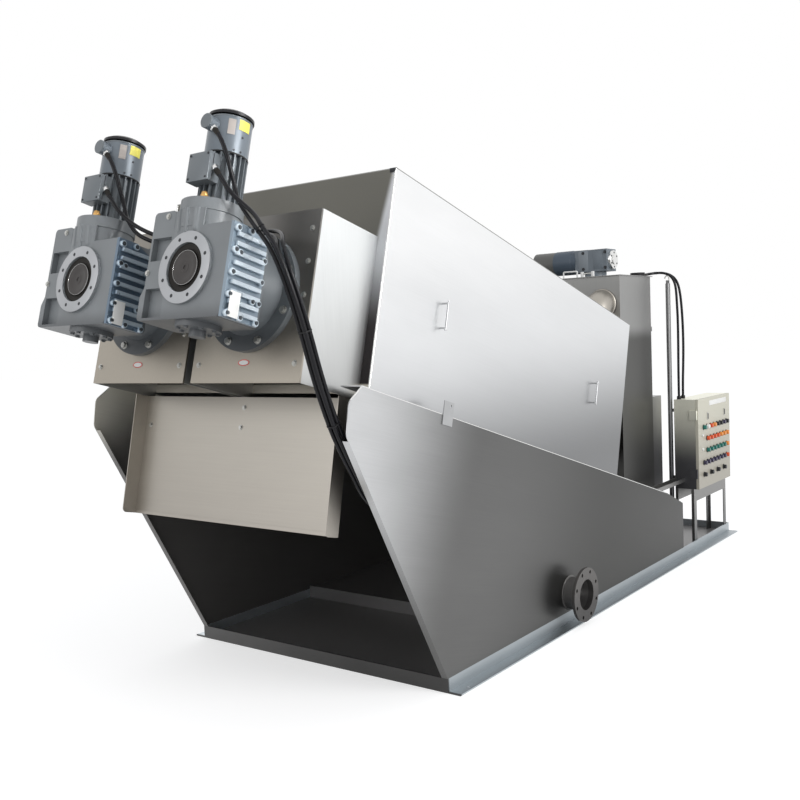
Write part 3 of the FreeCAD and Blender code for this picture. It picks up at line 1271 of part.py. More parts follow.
def lid_cable_ends(name):
    """Ends of a lid cable: a gland of the level probe and one on the cabinet."""
    turn, order = (1, "first") if name.endswith("1") else (-1, "second")
    rear = tank_front + S["tank_length"]
    start = FreeCAD.Vector(
        (S["probe_out"] + turn * S["probe_gland_pitch"] / 2).number,
        (rear - S["probe_inset"] + S["probe_gland_reach"]).number,
        (S["tank_top"] + S["sheet"] + S["probe_gland_up"]).number)
    end = FreeCAD.Vector(
        S["cabinet_gland_out"].number,
        (back - S["cabinet_inset"] - S["cabinet_width"] + S[f"{order}_gland_at"]).number,
        (floor_top + S["stand_height"] + S["cabinet_height"] + S["cabinet_gland"]).number)
    return start, end


def fitted_route(name):
    """Route of a cable, stretched so that its ends meet what holds them."""
    points = [FreeCAD.Vector(*point) for point in ROUTES[name]]
    start, end = lid_cable_ends(name) if name.startswith("lid") else motor_cable_ends(name)
    last = len(points) - 1
    return [point + (start - points[0]) * (1 - i / last) + (end - points[last]) * (i / last)
            for i, point in enumerate(points)]


def make_cable(name):
    """A cable as straight runs joined by arcs that touch both runs."""
    points = fitted_route(name)
    runs = [(after - before).Length for before, after in zip(points, points[1:])]
    pieces = []
    radii = []
    begin = points[0]
    for i in range(1, len(points) - 1):
        trim = 0.45 * min(runs[i - 1], runs[i])
        behind = (points[i - 1] - points[i]).normalize()
        ahead = (points[i + 1] - points[i]).normalize()
        radius = trim / math.tan((math.pi - behind.getAngle(ahead)) / 2)
        inward = (behind + ahead).normalize()
        middle = points[i] + inward * (math.hypot(trim, radius) - radius)
        first, last = points[i] + behind * trim, points[i] + ahead * trim
        pieces.append(Part.LineSegment(begin, first).toShape())
        pieces.append(Part.Arc(first, middle, last).toShape())
        radii.append(radius)
        begin = last
    pieces.append(Part.LineSegment(begin, points[-1]).toShape())
    path = Part.Wire(pieces)
    circle = Part.makeCircle(S["cable"].number / 2, points[0], points[1] - points[0])
    tube = path.makePipeShell([Part.Wire(circle)], True, False)
    expected = path.Length * math.pi * S["cable"].number ** 2 / 4
    cable = doc.addObject("Part::Feature", name)
    cable.Shape = tube
    keep(cable, name)
    print(f"{name}: {path.Length:.0f} mm long, tightest bend {min(radii):.0f} mm, "
          f"runs {min(runs):.0f} to {max(runs):.0f} mm, "
          f"volume {tube.Volume / expected:.4f} of section times length")


def check_and_write():
    """Stop on any failed object, then write one file for each sub-part."""
    doc.recompute()
    for obj in doc.Objects:
        if "Invalid" in obj.State or "Error" in obj.State:
            raise RuntimeError(f"{obj.Label} failed: {obj.State}")
    os.makedirs("parts", exist_ok=True)
    for node in NODES:
        shape = node.Shape
        if shape.isNull() or not shape.isValid():
            raise RuntimeError(f"{node.Label} has no valid shape")
        shape.exportStep(f"parts/{node.Label}.step")
        print(f"{node.Label}: {len(shape.Solids)} solids, {shape.Volume / 1e6:.2f} litres")


make_base_frame()
make_floors()
make_tank_bottom()
make_back_wall()
make_side_panel("left_side_panel", -1)
make_side_panel("right_side_panel", 1)
make_outlet()
make_hood()
for unit_name, unit_side in (("left", -1), ("right", 1)):
    make_discharge_box(unit_name, unit_side)
    make_gear_unit(unit_name, unit_side)
    make_feed_pipe(unit_name, unit_side)
make_chute()
make_mixing_tank()
make_mixer()
make_cabinet()
make_handles()
make_trunking()
for cable_name in ROUTES:
    make_cable(cable_name)
check_and_write()
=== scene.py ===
import math

import bmesh
import bpy
from mathutils import Matrix, Vector


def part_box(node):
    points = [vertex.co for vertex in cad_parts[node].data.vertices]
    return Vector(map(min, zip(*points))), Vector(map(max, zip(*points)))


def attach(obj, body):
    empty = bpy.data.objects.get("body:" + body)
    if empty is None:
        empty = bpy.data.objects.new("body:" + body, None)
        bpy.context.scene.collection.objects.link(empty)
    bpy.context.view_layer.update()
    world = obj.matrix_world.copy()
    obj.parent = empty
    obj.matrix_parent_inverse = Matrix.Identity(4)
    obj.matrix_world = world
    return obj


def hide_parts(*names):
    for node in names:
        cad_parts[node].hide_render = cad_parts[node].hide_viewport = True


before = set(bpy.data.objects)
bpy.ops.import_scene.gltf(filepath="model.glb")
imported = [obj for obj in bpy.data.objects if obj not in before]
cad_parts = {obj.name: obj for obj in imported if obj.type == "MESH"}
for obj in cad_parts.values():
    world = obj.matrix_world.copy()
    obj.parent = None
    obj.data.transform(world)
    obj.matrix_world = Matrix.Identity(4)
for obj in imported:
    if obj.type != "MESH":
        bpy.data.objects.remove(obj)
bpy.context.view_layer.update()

# Camera, placed and turned as for the photograph
CAMERA_AT = Vector((2.884, -4.4765, 1.460))
CAMERA_YAW = math.radians(36.85)
CAMERA_PITCH = math.radians(3.92)
CAMERA_ROLL = math.radians(-2.30)
CAMERA_LENS = 43.12

# Directions along which the finishes change their tone, and the two sides of the machine
UP = (0, 0, 1)
DOWN = (0, 0, -1)
SIDES = ((-1, "left"), (1, "right"))

# Screw axis of a gear unit, on the face of its discharge box, and its place along the
# directions in which the leaning unit rises and stands out
TILT = math.radians(15)
AXIS_Y = -1.915
AXIS_Z = 1.6315
AXIS_X = 0.307
AXIS_RISE = AXIS_Y * math.sin(TILT) + AXIS_Z * math.cos(TILT)
AXIS_OUT = AXIS_Z * math.sin(TILT) - AXIS_Y * math.cos(TILT)

# Places in a gear unit: to the right of its axis, out from the box face, or above the axis
HOUSING_FACE = 0.3345
COVER_PLANE = 0.212
COVER_BACK = 0.170
FIN_HEIGHT = 0.016
ADAPTER_X = -0.020
ADAPTER_OUT = 0.240
MOTOR_OUT = 0.232
TERMINAL_OUT = 0.325
FAN_BOX_RISE = 0.536
CANOPY_FOOT = 0.578
COWL_RADIUS = 0.0790

# Places on the body, the mixer motor's axis and the face of the cabinet door
PANEL_OUTSIDE = 0.7245
PANEL_EDGE = ((-1.8870, 1.2350), (-1.8180, 1.2810), (1.0335, 0.4450))
HOOD_OUTSIDE = 0.6385
HOOD_CORNER = (-1.4462, 2.1000)
HOOD_FOOT = (-1.6775, 1.2420)
HOOD_TAIL = (0.7420, 1.4580)
OUTLET_WELD = (0.7270, -0.2595, 0.1520)
FEED_PIPE_X = 0.387
FEED_PIPE_END = (0.9325, 1.5950)
MIXER_Y = 1.1745
MIXER_Z = 1.872
DOOR_FACE = 0.755

# Starts of the cables in metres, with x from the unit's axis, and ends in the trunking as
# (y, z); both units start in the same way, and both cables of a unit end in the same way
FAN_START = [
    (0.0283, -2.0975, 2.206), (0.0509, -2.1034, 2.1842), (0.069, -2.105, 2.158),
    (0.081, -2.104, 2.127), (0.089, -2.1, 2.095), (0.093, -2.095, 2.06), (0.097, -2.089, 2.025),
    (0.102, -2.086, 1.99), (0.112, -2.088, 1.957)]
MOTOR_START = [
    (0.0672, -2.1381, 2.0545), (0.0898, -2.144, 2.0326), (0.108, -2.144, 2.008),
    (0.123, -2.138, 1.982), (0.139, -2.127, 1.957), (0.16, -2.114, 1.933)]
RIGHT_END = [
    (-1.629, 0.806), (-1.56, 0.829), (-1.515, 0.887), (-1.496, 0.956), (-1.491, 1.028),
    (-1.491, 1.098)]
LEFT_END = [
    (-1.631, 0.828), (-1.572, 0.847), (-1.535, 0.897), (-1.518, 0.96), (-1.513, 1.028),
    (-1.513, 1.098)]
FAN_CABLE_X = 0.659
MOTOR_CABLE_X = 0.681


def started(points, side):
    """Start of a cable, moved from its unit's axis to its place."""
    return [(round(side * AXIS_X + x, 4), y, z) for x, y, z in points]


def ended(points, x):
    """End of a cable at its place across the machine."""
    return [(x, y, z) for y, z in points]


# Control points of the whole cables
ROUTES = {
    "right_fan_cable": started(FAN_START, 1) + [
        (0.442, -2.093, 1.928), (0.477, -2.103, 1.894), (0.517, -2.116, 1.859),
        (0.559, -2.135, 1.829), (0.602, -2.131, 1.776), (0.631, -2.119, 1.706),
        (0.651, -2.098, 1.612), (0.661, -2.058, 1.48), (0.664, -2.007, 1.31),
        (0.664, -1.938, 1.146), (0.663, -1.878, 1.042), (0.661, -1.814, 0.946),
        (0.66, -1.76, 0.865), (0.659, -1.703, 0.82)] + ended(RIGHT_END, FAN_CABLE_X),
    "right_motor_cable": started(MOTOR_START, 1) + [
        (0.498, -2.107, 1.907), (0.538, -2.117, 1.878), (0.577, -2.136, 1.843),
        (0.622, -2.132, 1.787), (0.653, -2.12, 1.712), (0.673, -2.098, 1.615),
        (0.683, -2.059, 1.481), (0.686, -2.007, 1.31), (0.686, -1.938, 1.146),
        (0.685, -1.878, 1.042), (0.683, -1.814, 0.945), (0.682, -1.76, 0.865),
        (0.681, -1.702, 0.82)] + ended(RIGHT_END, MOTOR_CABLE_X),
    "left_fan_cable": started(FAN_START, -1) + [
        (-0.173, -2.091, 1.927), (-0.141, -2.097, 1.896), (-0.099, -2.098, 1.869),
        (-0.035, -2.08, 1.841), (0.011, -2.048, 1.829), (0.056, -2.012, 1.826),
        (0.103, -1.98, 1.828), (0.157, -1.963, 1.835), (0.219, -1.956, 1.841),
        (0.287, -1.953, 1.844), (0.357, -1.959, 1.843), (0.423, -1.972, 1.839),
        (0.485, -1.994, 1.829), (0.541, -2.025, 1.805), (0.585, -2.074, 1.771),
        (0.631, -2.097, 1.71), (0.651, -2.077, 1.618), (0.661, -2.037, 1.487),
        (0.664, -1.986, 1.317), (0.664, -1.918, 1.156), (0.663, -1.859, 1.053),
        (0.661, -1.795, 0.958), (0.66, -1.744, 0.879), (0.659, -1.694, 0.84)
    ] + ended(LEFT_END, FAN_CABLE_X),
    "left_motor_cable": started(MOTOR_START, -1) + [
        (-0.113, -2.103, 1.908), (-0.067, -2.092, 1.884), (-0.017, -2.067, 1.861),
        (0.025, -2.029, 1.846), (0.069, -1.989, 1.842), (0.117, -1.955, 1.845),
        (0.173, -1.935, 1.851), (0.237, -1.927, 1.855), (0.307, -1.927, 1.857),
        (0.377, -1.934, 1.855), (0.445, -1.949, 1.85), (0.509, -1.977, 1.839),
        (0.565, -2.021, 1.816), (0.609, -2.071, 1.783), (0.653, -2.098, 1.716),
        (0.673, -2.077, 1.62), (0.683, -2.037, 1.488), (0.686, -1.986, 1.318),
        (0.686, -1.918, 1.155), (0.685, -1.859, 1.053), (0.683, -1.795, 0.958),
        (0.682, -1.744, 0.879), (0.681, -1.693, 0.84)] + ended(LEFT_END, MOTOR_CABLE_X),
    "lid_cable_1": [
        (0.455, 1.4125, 1.777), (0.455, 1.451, 1.777), (0.468, 1.488, 1.783),
        (0.497, 1.517, 1.788), (0.536, 1.533, 1.788), (0.575, 1.542, 1.773),
        (0.602, 1.546, 1.741), (0.616, 1.547, 1.694), (0.62, 1.549, 1.612), (0.622, 1.556, 1.48),
        (0.62, 1.56, 1.325), (0.619, 1.557, 1.18), (0.62, 1.5535, 1.066), (0.62, 1.5535, 0.989)],
    "lid_cable_2": [
        (0.425, 1.4125, 1.777), (0.425, 1.464, 1.777), (0.44, 1.516, 1.785),
        (0.474, 1.562, 1.791), (0.518, 1.592, 1.79), (0.562, 1.604, 1.774),
        (0.596, 1.607, 1.742), (0.614, 1.61, 1.692), (0.622, 1.618, 1.612), (0.624, 1.634, 1.48),
        (0.622, 1.646, 1.33), (0.62, 1.641, 1.185), (0.62, 1.6265, 1.068), (0.62, 1.6265, 0.989)],
}

# Diameter of all the cables
CABLE_SIZE = 0.016

# Light of the world on the object, and what the floor adds for the eye
SOFT_LIGHT = 0.78
FLOOR_GLOW = 0.56
FLOOR_HALF = 40
FLOOR_LEVEL = -0.001

# Half the width of the step between two colours on a casting
HALF_EDGE = 0.0004

# Angles between faces, in degrees, from which an edge is drawn sharp
PIECE_CREASE = 32
HEAD_CREASE = 28


def in_unit(side, x, out, z):
    """Point of a gear unit: x and z from the screw axis, out in front of the box face."""
    y = AXIS_Y - out * math.cos(TILT) + z * math.sin(TILT)
    return Vector((side * AXIS_X + x, y, AXIS_Z + out * math.sin(TILT) + z * math.cos(TILT)))


# Directions of the machine and of a gear unit
ACROSS = Vector((1, 0, 0))
FORWARD = Vector((0, -1, 0))
BACKWARD = Vector((0, 1, 0))
UPWARD = Vector((0, 0, 1))
RISE = Vector((0, math.sin(TILT), math.cos(TILT)))
OUT = Vector((0, -math.cos(TILT), math.sin(TILT)))
GLAND_WAY = (ACROSS - RISE).normalized()


def vectors(*points):
    return [Vector(point) for point in points]


def framed(at, first, second, third):
    """Frame at a point from its three axes."""
    turn = Matrix((first, second, third)).transposed().to_4x4()
    return Matrix.Translation(at) @ turn


def face_frame(side, x=0.0, out=0.0, z=0.0):
    """Local X to the right, Y up the unit, Z out of its front face."""
    return framed(in_unit(side, x, out, z), ACROSS, RISE, OUT)


def motor_frame(side, x=0.0, out=MOTOR_OUT, z=0.0):
    """Local Z up the motor axis, X to the front, Y to the right."""
    return framed(in_unit(side, x, out, z), OUT, ACROSS, RISE)


# Camera and stage

def add_object(name, data):
    """New object in the scene."""
    made = bpy.data.objects.new(name, data)
    bpy.context.scene.collection.objects.link(made)
    return made


def make_camera():
    data = bpy.data.cameras.new("camera")
    data.lens = CAMERA_LENS
    data.sensor_width = 36
    data.clip_end = 200
    camera = add_object("camera", data)
    forward = Vector((-math.sin(CAMERA_YAW), math.cos(CAMERA_YAW), 0))
    right = Vector((math.cos(CAMERA_YAW), math.sin(CAMERA_YAW), 0))
    low = forward * math.cos(CAMERA_PITCH) - UPWARD * math.sin(CAMERA_PITCH)
    high = UPWARD * math.cos(CAMERA_PITCH) + forward * math.sin(CAMERA_PITCH)
    across = right * math.cos(CAMERA_ROLL) + high * math.sin(CAMERA_ROLL)
    above = high * math.cos(CAMERA_ROLL) - right * math.sin(CAMERA_ROLL)
    camera.matrix_world = framed(CAMERA_AT, across, above, -low)
    bpy.context.scene.camera = camera


def make_lamp(name, at, aim, size, power, spread=math.pi):
    data = bpy.data.lights.new(name, "AREA")
    data.shape = "RECTANGLE"
    data.size, data.size_y = size
    data.energy = power
    data.spread = spread
    lamp = add_object(name, data)
    lamp.location = at
    lamp.rotation_euler = (Vector(aim) - Vector(at)).to_track_quat("-Z", "Y").to_euler()


def add_node(tree, kind, inputs=None, **settings):
    """New node; inputs gives named or numbered sockets a value or another node's output."""
    node = tree.nodes.new(kind)
    for name, value in settings.items():
        setattr(node, name, value)
    for socket, value in (inputs or {}).items():
        if isinstance(value, bpy.types.NodeSocket):
            tree.links.new(value, node.inputs[socket])
        else:
            node.inputs[socket].default_value = value
    return node


def add_math(tree, operation, *values):
    """Result of a math node on numbers or other nodes' outputs."""
    node = add_node(tree, "ShaderNodeMath", dict(enumerate(values)), operation=operation)
    return node.outputs[0]


def seen_as_background(tree):
    """1 for rays that see the backdrop: camera, glossy and transmission rays."""
    path = tree.nodes.new("ShaderNodeLightPath").outputs
    either = add_math(tree, "MAXIMUM", path["Is Camera Ray"], path["Is Glossy Ray"])
    return add_math(tree, "MAXIMUM", either, path["Is Transmission Ray"])


def make_world():
    """Even soft light for the object, and plain white behind it."""
    world = bpy.data.worlds.new("studio")
    bpy.context.scene.world = world
    world.use_nodes = True
    tree = world.node_tree
    tree.nodes.clear()
    soft = add_node(tree, "ShaderNodeBackground",
                    {"Color": (0.97, 0.98, 1.0, 1), "Strength": SOFT_LIGHT})
    white = add_node(tree, "ShaderNodeBackground", {"Color": (1, 1, 1, 1)})
    mix = add_node(tree, "ShaderNodeMixShader",
                   {0: seen_as_background(tree), 1: soft.outputs[0], 2: white.outputs[0]})
    add_node(tree, "ShaderNodeOutputWorld", {"Surface": mix.outputs[0]})


def make_floor():
    """Pale floor: plain to the light, and white with the object's shadow to the eye."""
    mesh = bpy.data.meshes.new("floor")
    corners = [(FLOOR_HALF * x, FLOOR_HALF * y, FLOOR_LEVEL)
               for x, y in ((-1, -1), (1, -1), (1, 1), (-1, 1))]
    mesh.from_pydata(corners, [], [(0, 1, 2, 3)])
    floor = add_object("floor", mesh)
    material = bpy.data.materials.new("pale_floor")
    material.use_nodes = True
    tree = material.node_tree
    tree.nodes.clear()
    plain = add_node(tree, "ShaderNodeBsdfDiffuse", {"Color": (0.60, 0.60, 0.60, 1)})
    glow = add_node(tree, "ShaderNodeEmission",
                    {"Strength": seen_as_background(tree),
                     "Color": (FLOOR_GLOW, FLOOR_GLOW, FLOOR_GLOW, 1)})
    both = add_node(tree, "ShaderNodeAddShader", {0: plain.outputs[0], 1: glow.outputs[0]})
    add_node(tree, "ShaderNodeOutputMaterial", {"Surface": both.outputs[0]})
    mesh.materials.append(material)


# Effects that the materials share

def new_group(name, inputs, outputs):
    """Shader group with the usual values of its inputs, and outputs that are numbers."""
    tree = bpy.data.node_groups.new(name, "ShaderNodeTree")
    for label, value in inputs.items():
        kind = "NodeSocketFloat" if isinstance(value, float) else "NodeSocketVector"
        socket = tree.interface.new_socket(label, in_out="INPUT", socket_type=kind)
        if value is not None:
            socket.default_value = value
    for label in outputs:
        tree.interface.new_socket(label, in_out="OUTPUT", socket_type="NodeSocketFloat")
    given = tree.nodes.new("NodeGroupInput")
    made = tree.nodes.new("NodeGroupOutput")
    return tree, given.outputs, made.inputs


def make_grading():
    """Mask that rises smoothly from Start to End, measured along Way."""
    tree, given, made = new_group(
        "grading", {"Vector": None, "Way": (0, 0, 1), "Start": 0.0, "End": 1.0}, ("Mask",))
    along = add_node(tree, "ShaderNodeVectorMath", {0: given["Vector"], 1: given["Way"]},
                     operation="DOT_PRODUCT")
    span = add_node(tree, "ShaderNodeMapRange",
                    {"Value": along.outputs["Value"], "From Min": given["Start"],
                     "From Max": given["End"]}, interpolation_type="SMOOTHSTEP")
    tree.links.new(span.outputs[0], made["Mask"])
    return tree


def make_brushing():
    """Fine straight scratches along Y of the vector, over soft clouds of tone."""
    tree, given, made = new_group(
        "brushing", {"Vector": None, "Depth": 0.2, "Clouds": 0.2}, ("Tone", "Gloss", "Height"))

    def noise(stretch, **values):
        place = add_node(tree, "ShaderNodeMapping", {"Vector": given["Vector"], "Scale": stretch})
        return add_node(tree, "ShaderNodeTexNoise",
                        {"Vector": place.outputs[0], "Scale": 1, **values}).outputs["Fac"]

    def around_one(source, amount):
        centred = add_math(tree, "SUBTRACT", source, 0.5)
        return add_math(tree, "MULTIPLY_ADD", centred, amount, 1)

    lines = noise((260, 2.2, 260), Detail=3)
    clouds = noise((3.1, 0.9, 3.1), Detail=5, Roughness=0.6)
    tone = add_math(tree, "MULTIPLY", around_one(lines, given["Depth"]),
                    around_one(clouds, given["Clouds"]))
    for output, source in (("Tone", tone), ("Gloss", clouds), ("Height", lines)):
        tree.links.new(source, made[output])
    return tree


def make_casting():
    """Rough cast skin: small pits and soft patches."""
    tree, given, made = new_group(
        "casting", {"Vector": None, "Grain": 260.0, "Patch": 9.0}, ("Skin", "Patches"))
    for scale, detail, output in (("Grain", 2, "Skin"), ("Patch", 4, "Patches")):
        noise = add_node(tree, "ShaderNodeTexNoise",
                         {"Vector": given["Vector"], "Scale": given[scale], "Detail": detail})
        tree.links.new(noise.outputs["Fac"], made[output])
    return tree


GRADING = make_grading()
BRUSHING = make_brushing()
CASTING = make_casting()


# Materials

class Recipe:
    """A material under construction: its tree and its main shader."""

    def __init__(self, name, colour, roughness, metallic):
        self.material = bpy.data.materials.new(name)
        self.material.use_nodes = True
        self.tree = self.material.node_tree
        self.shader = self.tree.nodes["Principled BSDF"]
        self.set("Base Color", (*colour, 1))
        self.set("Roughness", roughness)
        self.set("Metallic", metallic)
        FINISH[name] = self.material

    def set(self, name, value):
        self.shader.inputs[name].default_value = value

    def use(self, source, name):
        self.tree.links.new(source, self.shader.inputs[name])

    def place(self, turn=(0, 0, 0)):
        """Object coordinates, turned about the origin."""
        where = self.tree.nodes.new("ShaderNodeTexCoord").outputs["Object"]
        mapping = add_node(self.tree, "ShaderNodeMapping", {"Vector": where, "Rotation": turn})
        return mapping.outputs["Vector"]

    def effect(self, group, vector, **values):
        """One of the shared groups, with its own values."""
        return add_node(self.tree, "ShaderNodeGroup", {"Vector": vector, **values},
                        node_tree=group).outputs

    def grade(self, way, start, end):
        """A mask that runs from 0 to 1 between two distances along a direction."""
        return self.effect(GRADING, self.place(), Way=way, Start=start, End=end)["Mask"]

    def mix(self, factor, first, second, mode="MIX"):
        """Two colours mixed, each a tuple or another node's output."""
        first, second = ((*c, 1) if isinstance(c, tuple) else c for c in (first, second))
        return add_node(self.tree, "ShaderNodeMix", {0: factor, 6: first, 7: second},
                        data_type="RGBA", blend_type=mode).outputs[2]

    def shaded(self, tone, factor, way, start, end):
        """A tone that is multiplied by a factor from some distance along a direction, as painted
        shade.
        """
        second = self.mix(self.grade(way, start, end), (1, 1, 1), factor)
        return self.mix(1.0, tone, second, "MULTIPLY")

    def grey(self, value):
        """A colour of one value in all three channels."""
        return add_node(self.tree, "ShaderNodeCombineColor",
                        {0: value, 1: value, 2: value}).outputs[0]

    def roughness(self, source, low, high):
        span = add_node(self.tree, "ShaderNodeMapRange",
                        {"To Min": low, "To Max": high, "Value": source})
        self.use(span.outputs[0], "Roughness")

    def bump(self, height, strength, distance):
        node = add_node(self.tree, "ShaderNodeBump",
                        {"Strength": strength, "Distance": distance, "Height": height})
        self.use(node.outputs["Normal"], "Normal")


def sheet_metal(name, low, high, way=UP, start=0.0, end=2.4, roughness=0.34, turn=(0, 0, 0),
                depth=0.10, clouds=0.22, metallic=1.0, shade=None, foot=None):
    """Brushed stainless sheet, toned from low to high along a direction, on most sheets as painted
    light and reflection.

    The brushing runs along Y of the turned coordinates. shade is a painted shade, as
    (factor, direction, start, end), that the first tone is multiplied by. foot is a
    (height, colour) for the stretch of the sheet below that height.
    """
    recipe = Recipe(name, high, roughness, metallic)
    brush = recipe.effect(BRUSHING, recipe.place(turn), Depth=depth, Clouds=clouds)
    base = recipe.mix(recipe.grade(way, start, end), low, high)
    if shade:
        base = recipe.shaded(base, *shade)
    if foot:
        height, colour = foot
        base = recipe.mix(recipe.grade(UP, height, height + 0.01), colour, base)
    recipe.use(recipe.mix(1.0, base, recipe.grey(brush["Tone"]), "MULTIPLY"), "Base Color")
    recipe.roughness(brush["Gloss"], roughness - 0.07, roughness + 0.10)
    recipe.bump(brush["Height"], 0.06, 0.0003)


def cast_paint(name, colour, roughness=0.42, metallic=0.0, depth=0.35, above=None, shade=None):
    """Paint or bare metal on a casting, with pits of a depth.

    above is (direction, distance, second colour): the colour from that distance on. shade is
    (factor, direction, start, end), a painted shade that all of it is multiplied by.
    """
    recipe = Recipe(name, colour, roughness, metallic)
    cast = recipe.effect(CASTING, recipe.place(), Grain=240.0, Patch=8.0)
    dark = tuple(c * 0.82 for c in colour)
    light = tuple(min(1.0, c * 1.12) for c in colour)
    tone = recipe.mix(cast["Patches"], dark, light)
    if above:
        way, distance, other = above
        edge = recipe.grade(way, distance - HALF_EDGE, distance + HALF_EDGE)
        tone = recipe.mix(edge, tone, other)
    if shade:
        tone = recipe.shaded(tone, *shade)
    recipe.use(tone, "Base Color")
    recipe.roughness(cast["Patches"], roughness - 0.08, roughness + 0.12)
    recipe.bump(cast["Skin"], depth, 0.0008)


def smooth_finish(name, colour, roughness, metallic=0.0, specular=0.5, variation=0.08):
    """Even paint, plastic or turned metal with faint unevenness."""
    recipe = Recipe(name, colour, roughness, metallic)
    recipe.set("Specular IOR Level", specular)
    cast = recipe.effect(CASTING, recipe.place(), Grain=420.0, Patch=24.0)
    dark = tuple(c * (1 - variation) for c in colour)
    light = tuple(min(1.0, c * (1 + variation)) for c in colour)
    recipe.use(recipe.mix(cast["Patches"], dark, light), "Base Color")
    recipe.bump(cast["Skin"], 0.08, 0.0003)


def gear_cover_finish(name, centre, colour, valley):
    """Cast cover that is bright on the fins and darker between them, by the factor valley, as
    painted shade.
    """
    plane = centre + COVER_PLANE
    cast_paint(name, colour, 0.28, 0.5, depth=0.06,
               shade=(valley, (-1, 0, 0), -(plane + 0.8 * FIN_HEIGHT), -plane))


FINISH = {}

# Even finishes: colour, roughness, metallic, specular level and unevenness
EVEN = {
    "bright_steel": ((0.78, 0.78, 0.77), 0.16, 1.0),
    "handle_steel": ((0.44, 0.445, 0.45), 0.32, 1.0),
    "bolt_steel": ((0.50, 0.50, 0.48), 0.30, 1.0),
    "cover_screw": ((0.09, 0.10, 0.11), 0.35, 0.7),
    "dark_bolt": ((0.03, 0.032, 0.036), 0.40, 0.5),
    "shaft_edge": ((0.42, 0.415, 0.41), 0.24, 1.0),
    # The shaft's end face is plain dark steel.
    "dark_shaft": ((0.050, 0.045, 0.043), 0.42, 0.2, 0.3, 0.25),
    "seal_rubber": ((0.014, 0.012, 0.010), 0.55, 0.0, 0.2),
    "brass": ((0.62, 0.36, 0.12), 0.34, 0.6),
    "black_plastic": ((0.012, 0.012, 0.013), 0.50, 0.0, 0.25),
    "cable_rubber": ((0.007, 0.007, 0.009), 0.26, 0.0, 0.22),
    "blank_plate": ((0.80, 0.80, 0.78), 0.40),
    "beige_plate": ((0.42, 0.38, 0.35), 0.40),
    "yellow_plate": ((0.80, 0.72, 0.12), 0.45),
    "white_rope": ((0.75, 0.75, 0.74), 0.55),
    "red_rim": ((0.62, 0.10, 0.09), 0.45),
    "button_green": ((0.01, 0.16, 0.13), 0.32),
    "button_red": ((0.70, 0.09, 0.02), 0.32),
    "button_orange": ((0.80, 0.28, 0.05), 0.32),
    "button_purple": ((0.035, 0.03, 0.07), 0.32),
}


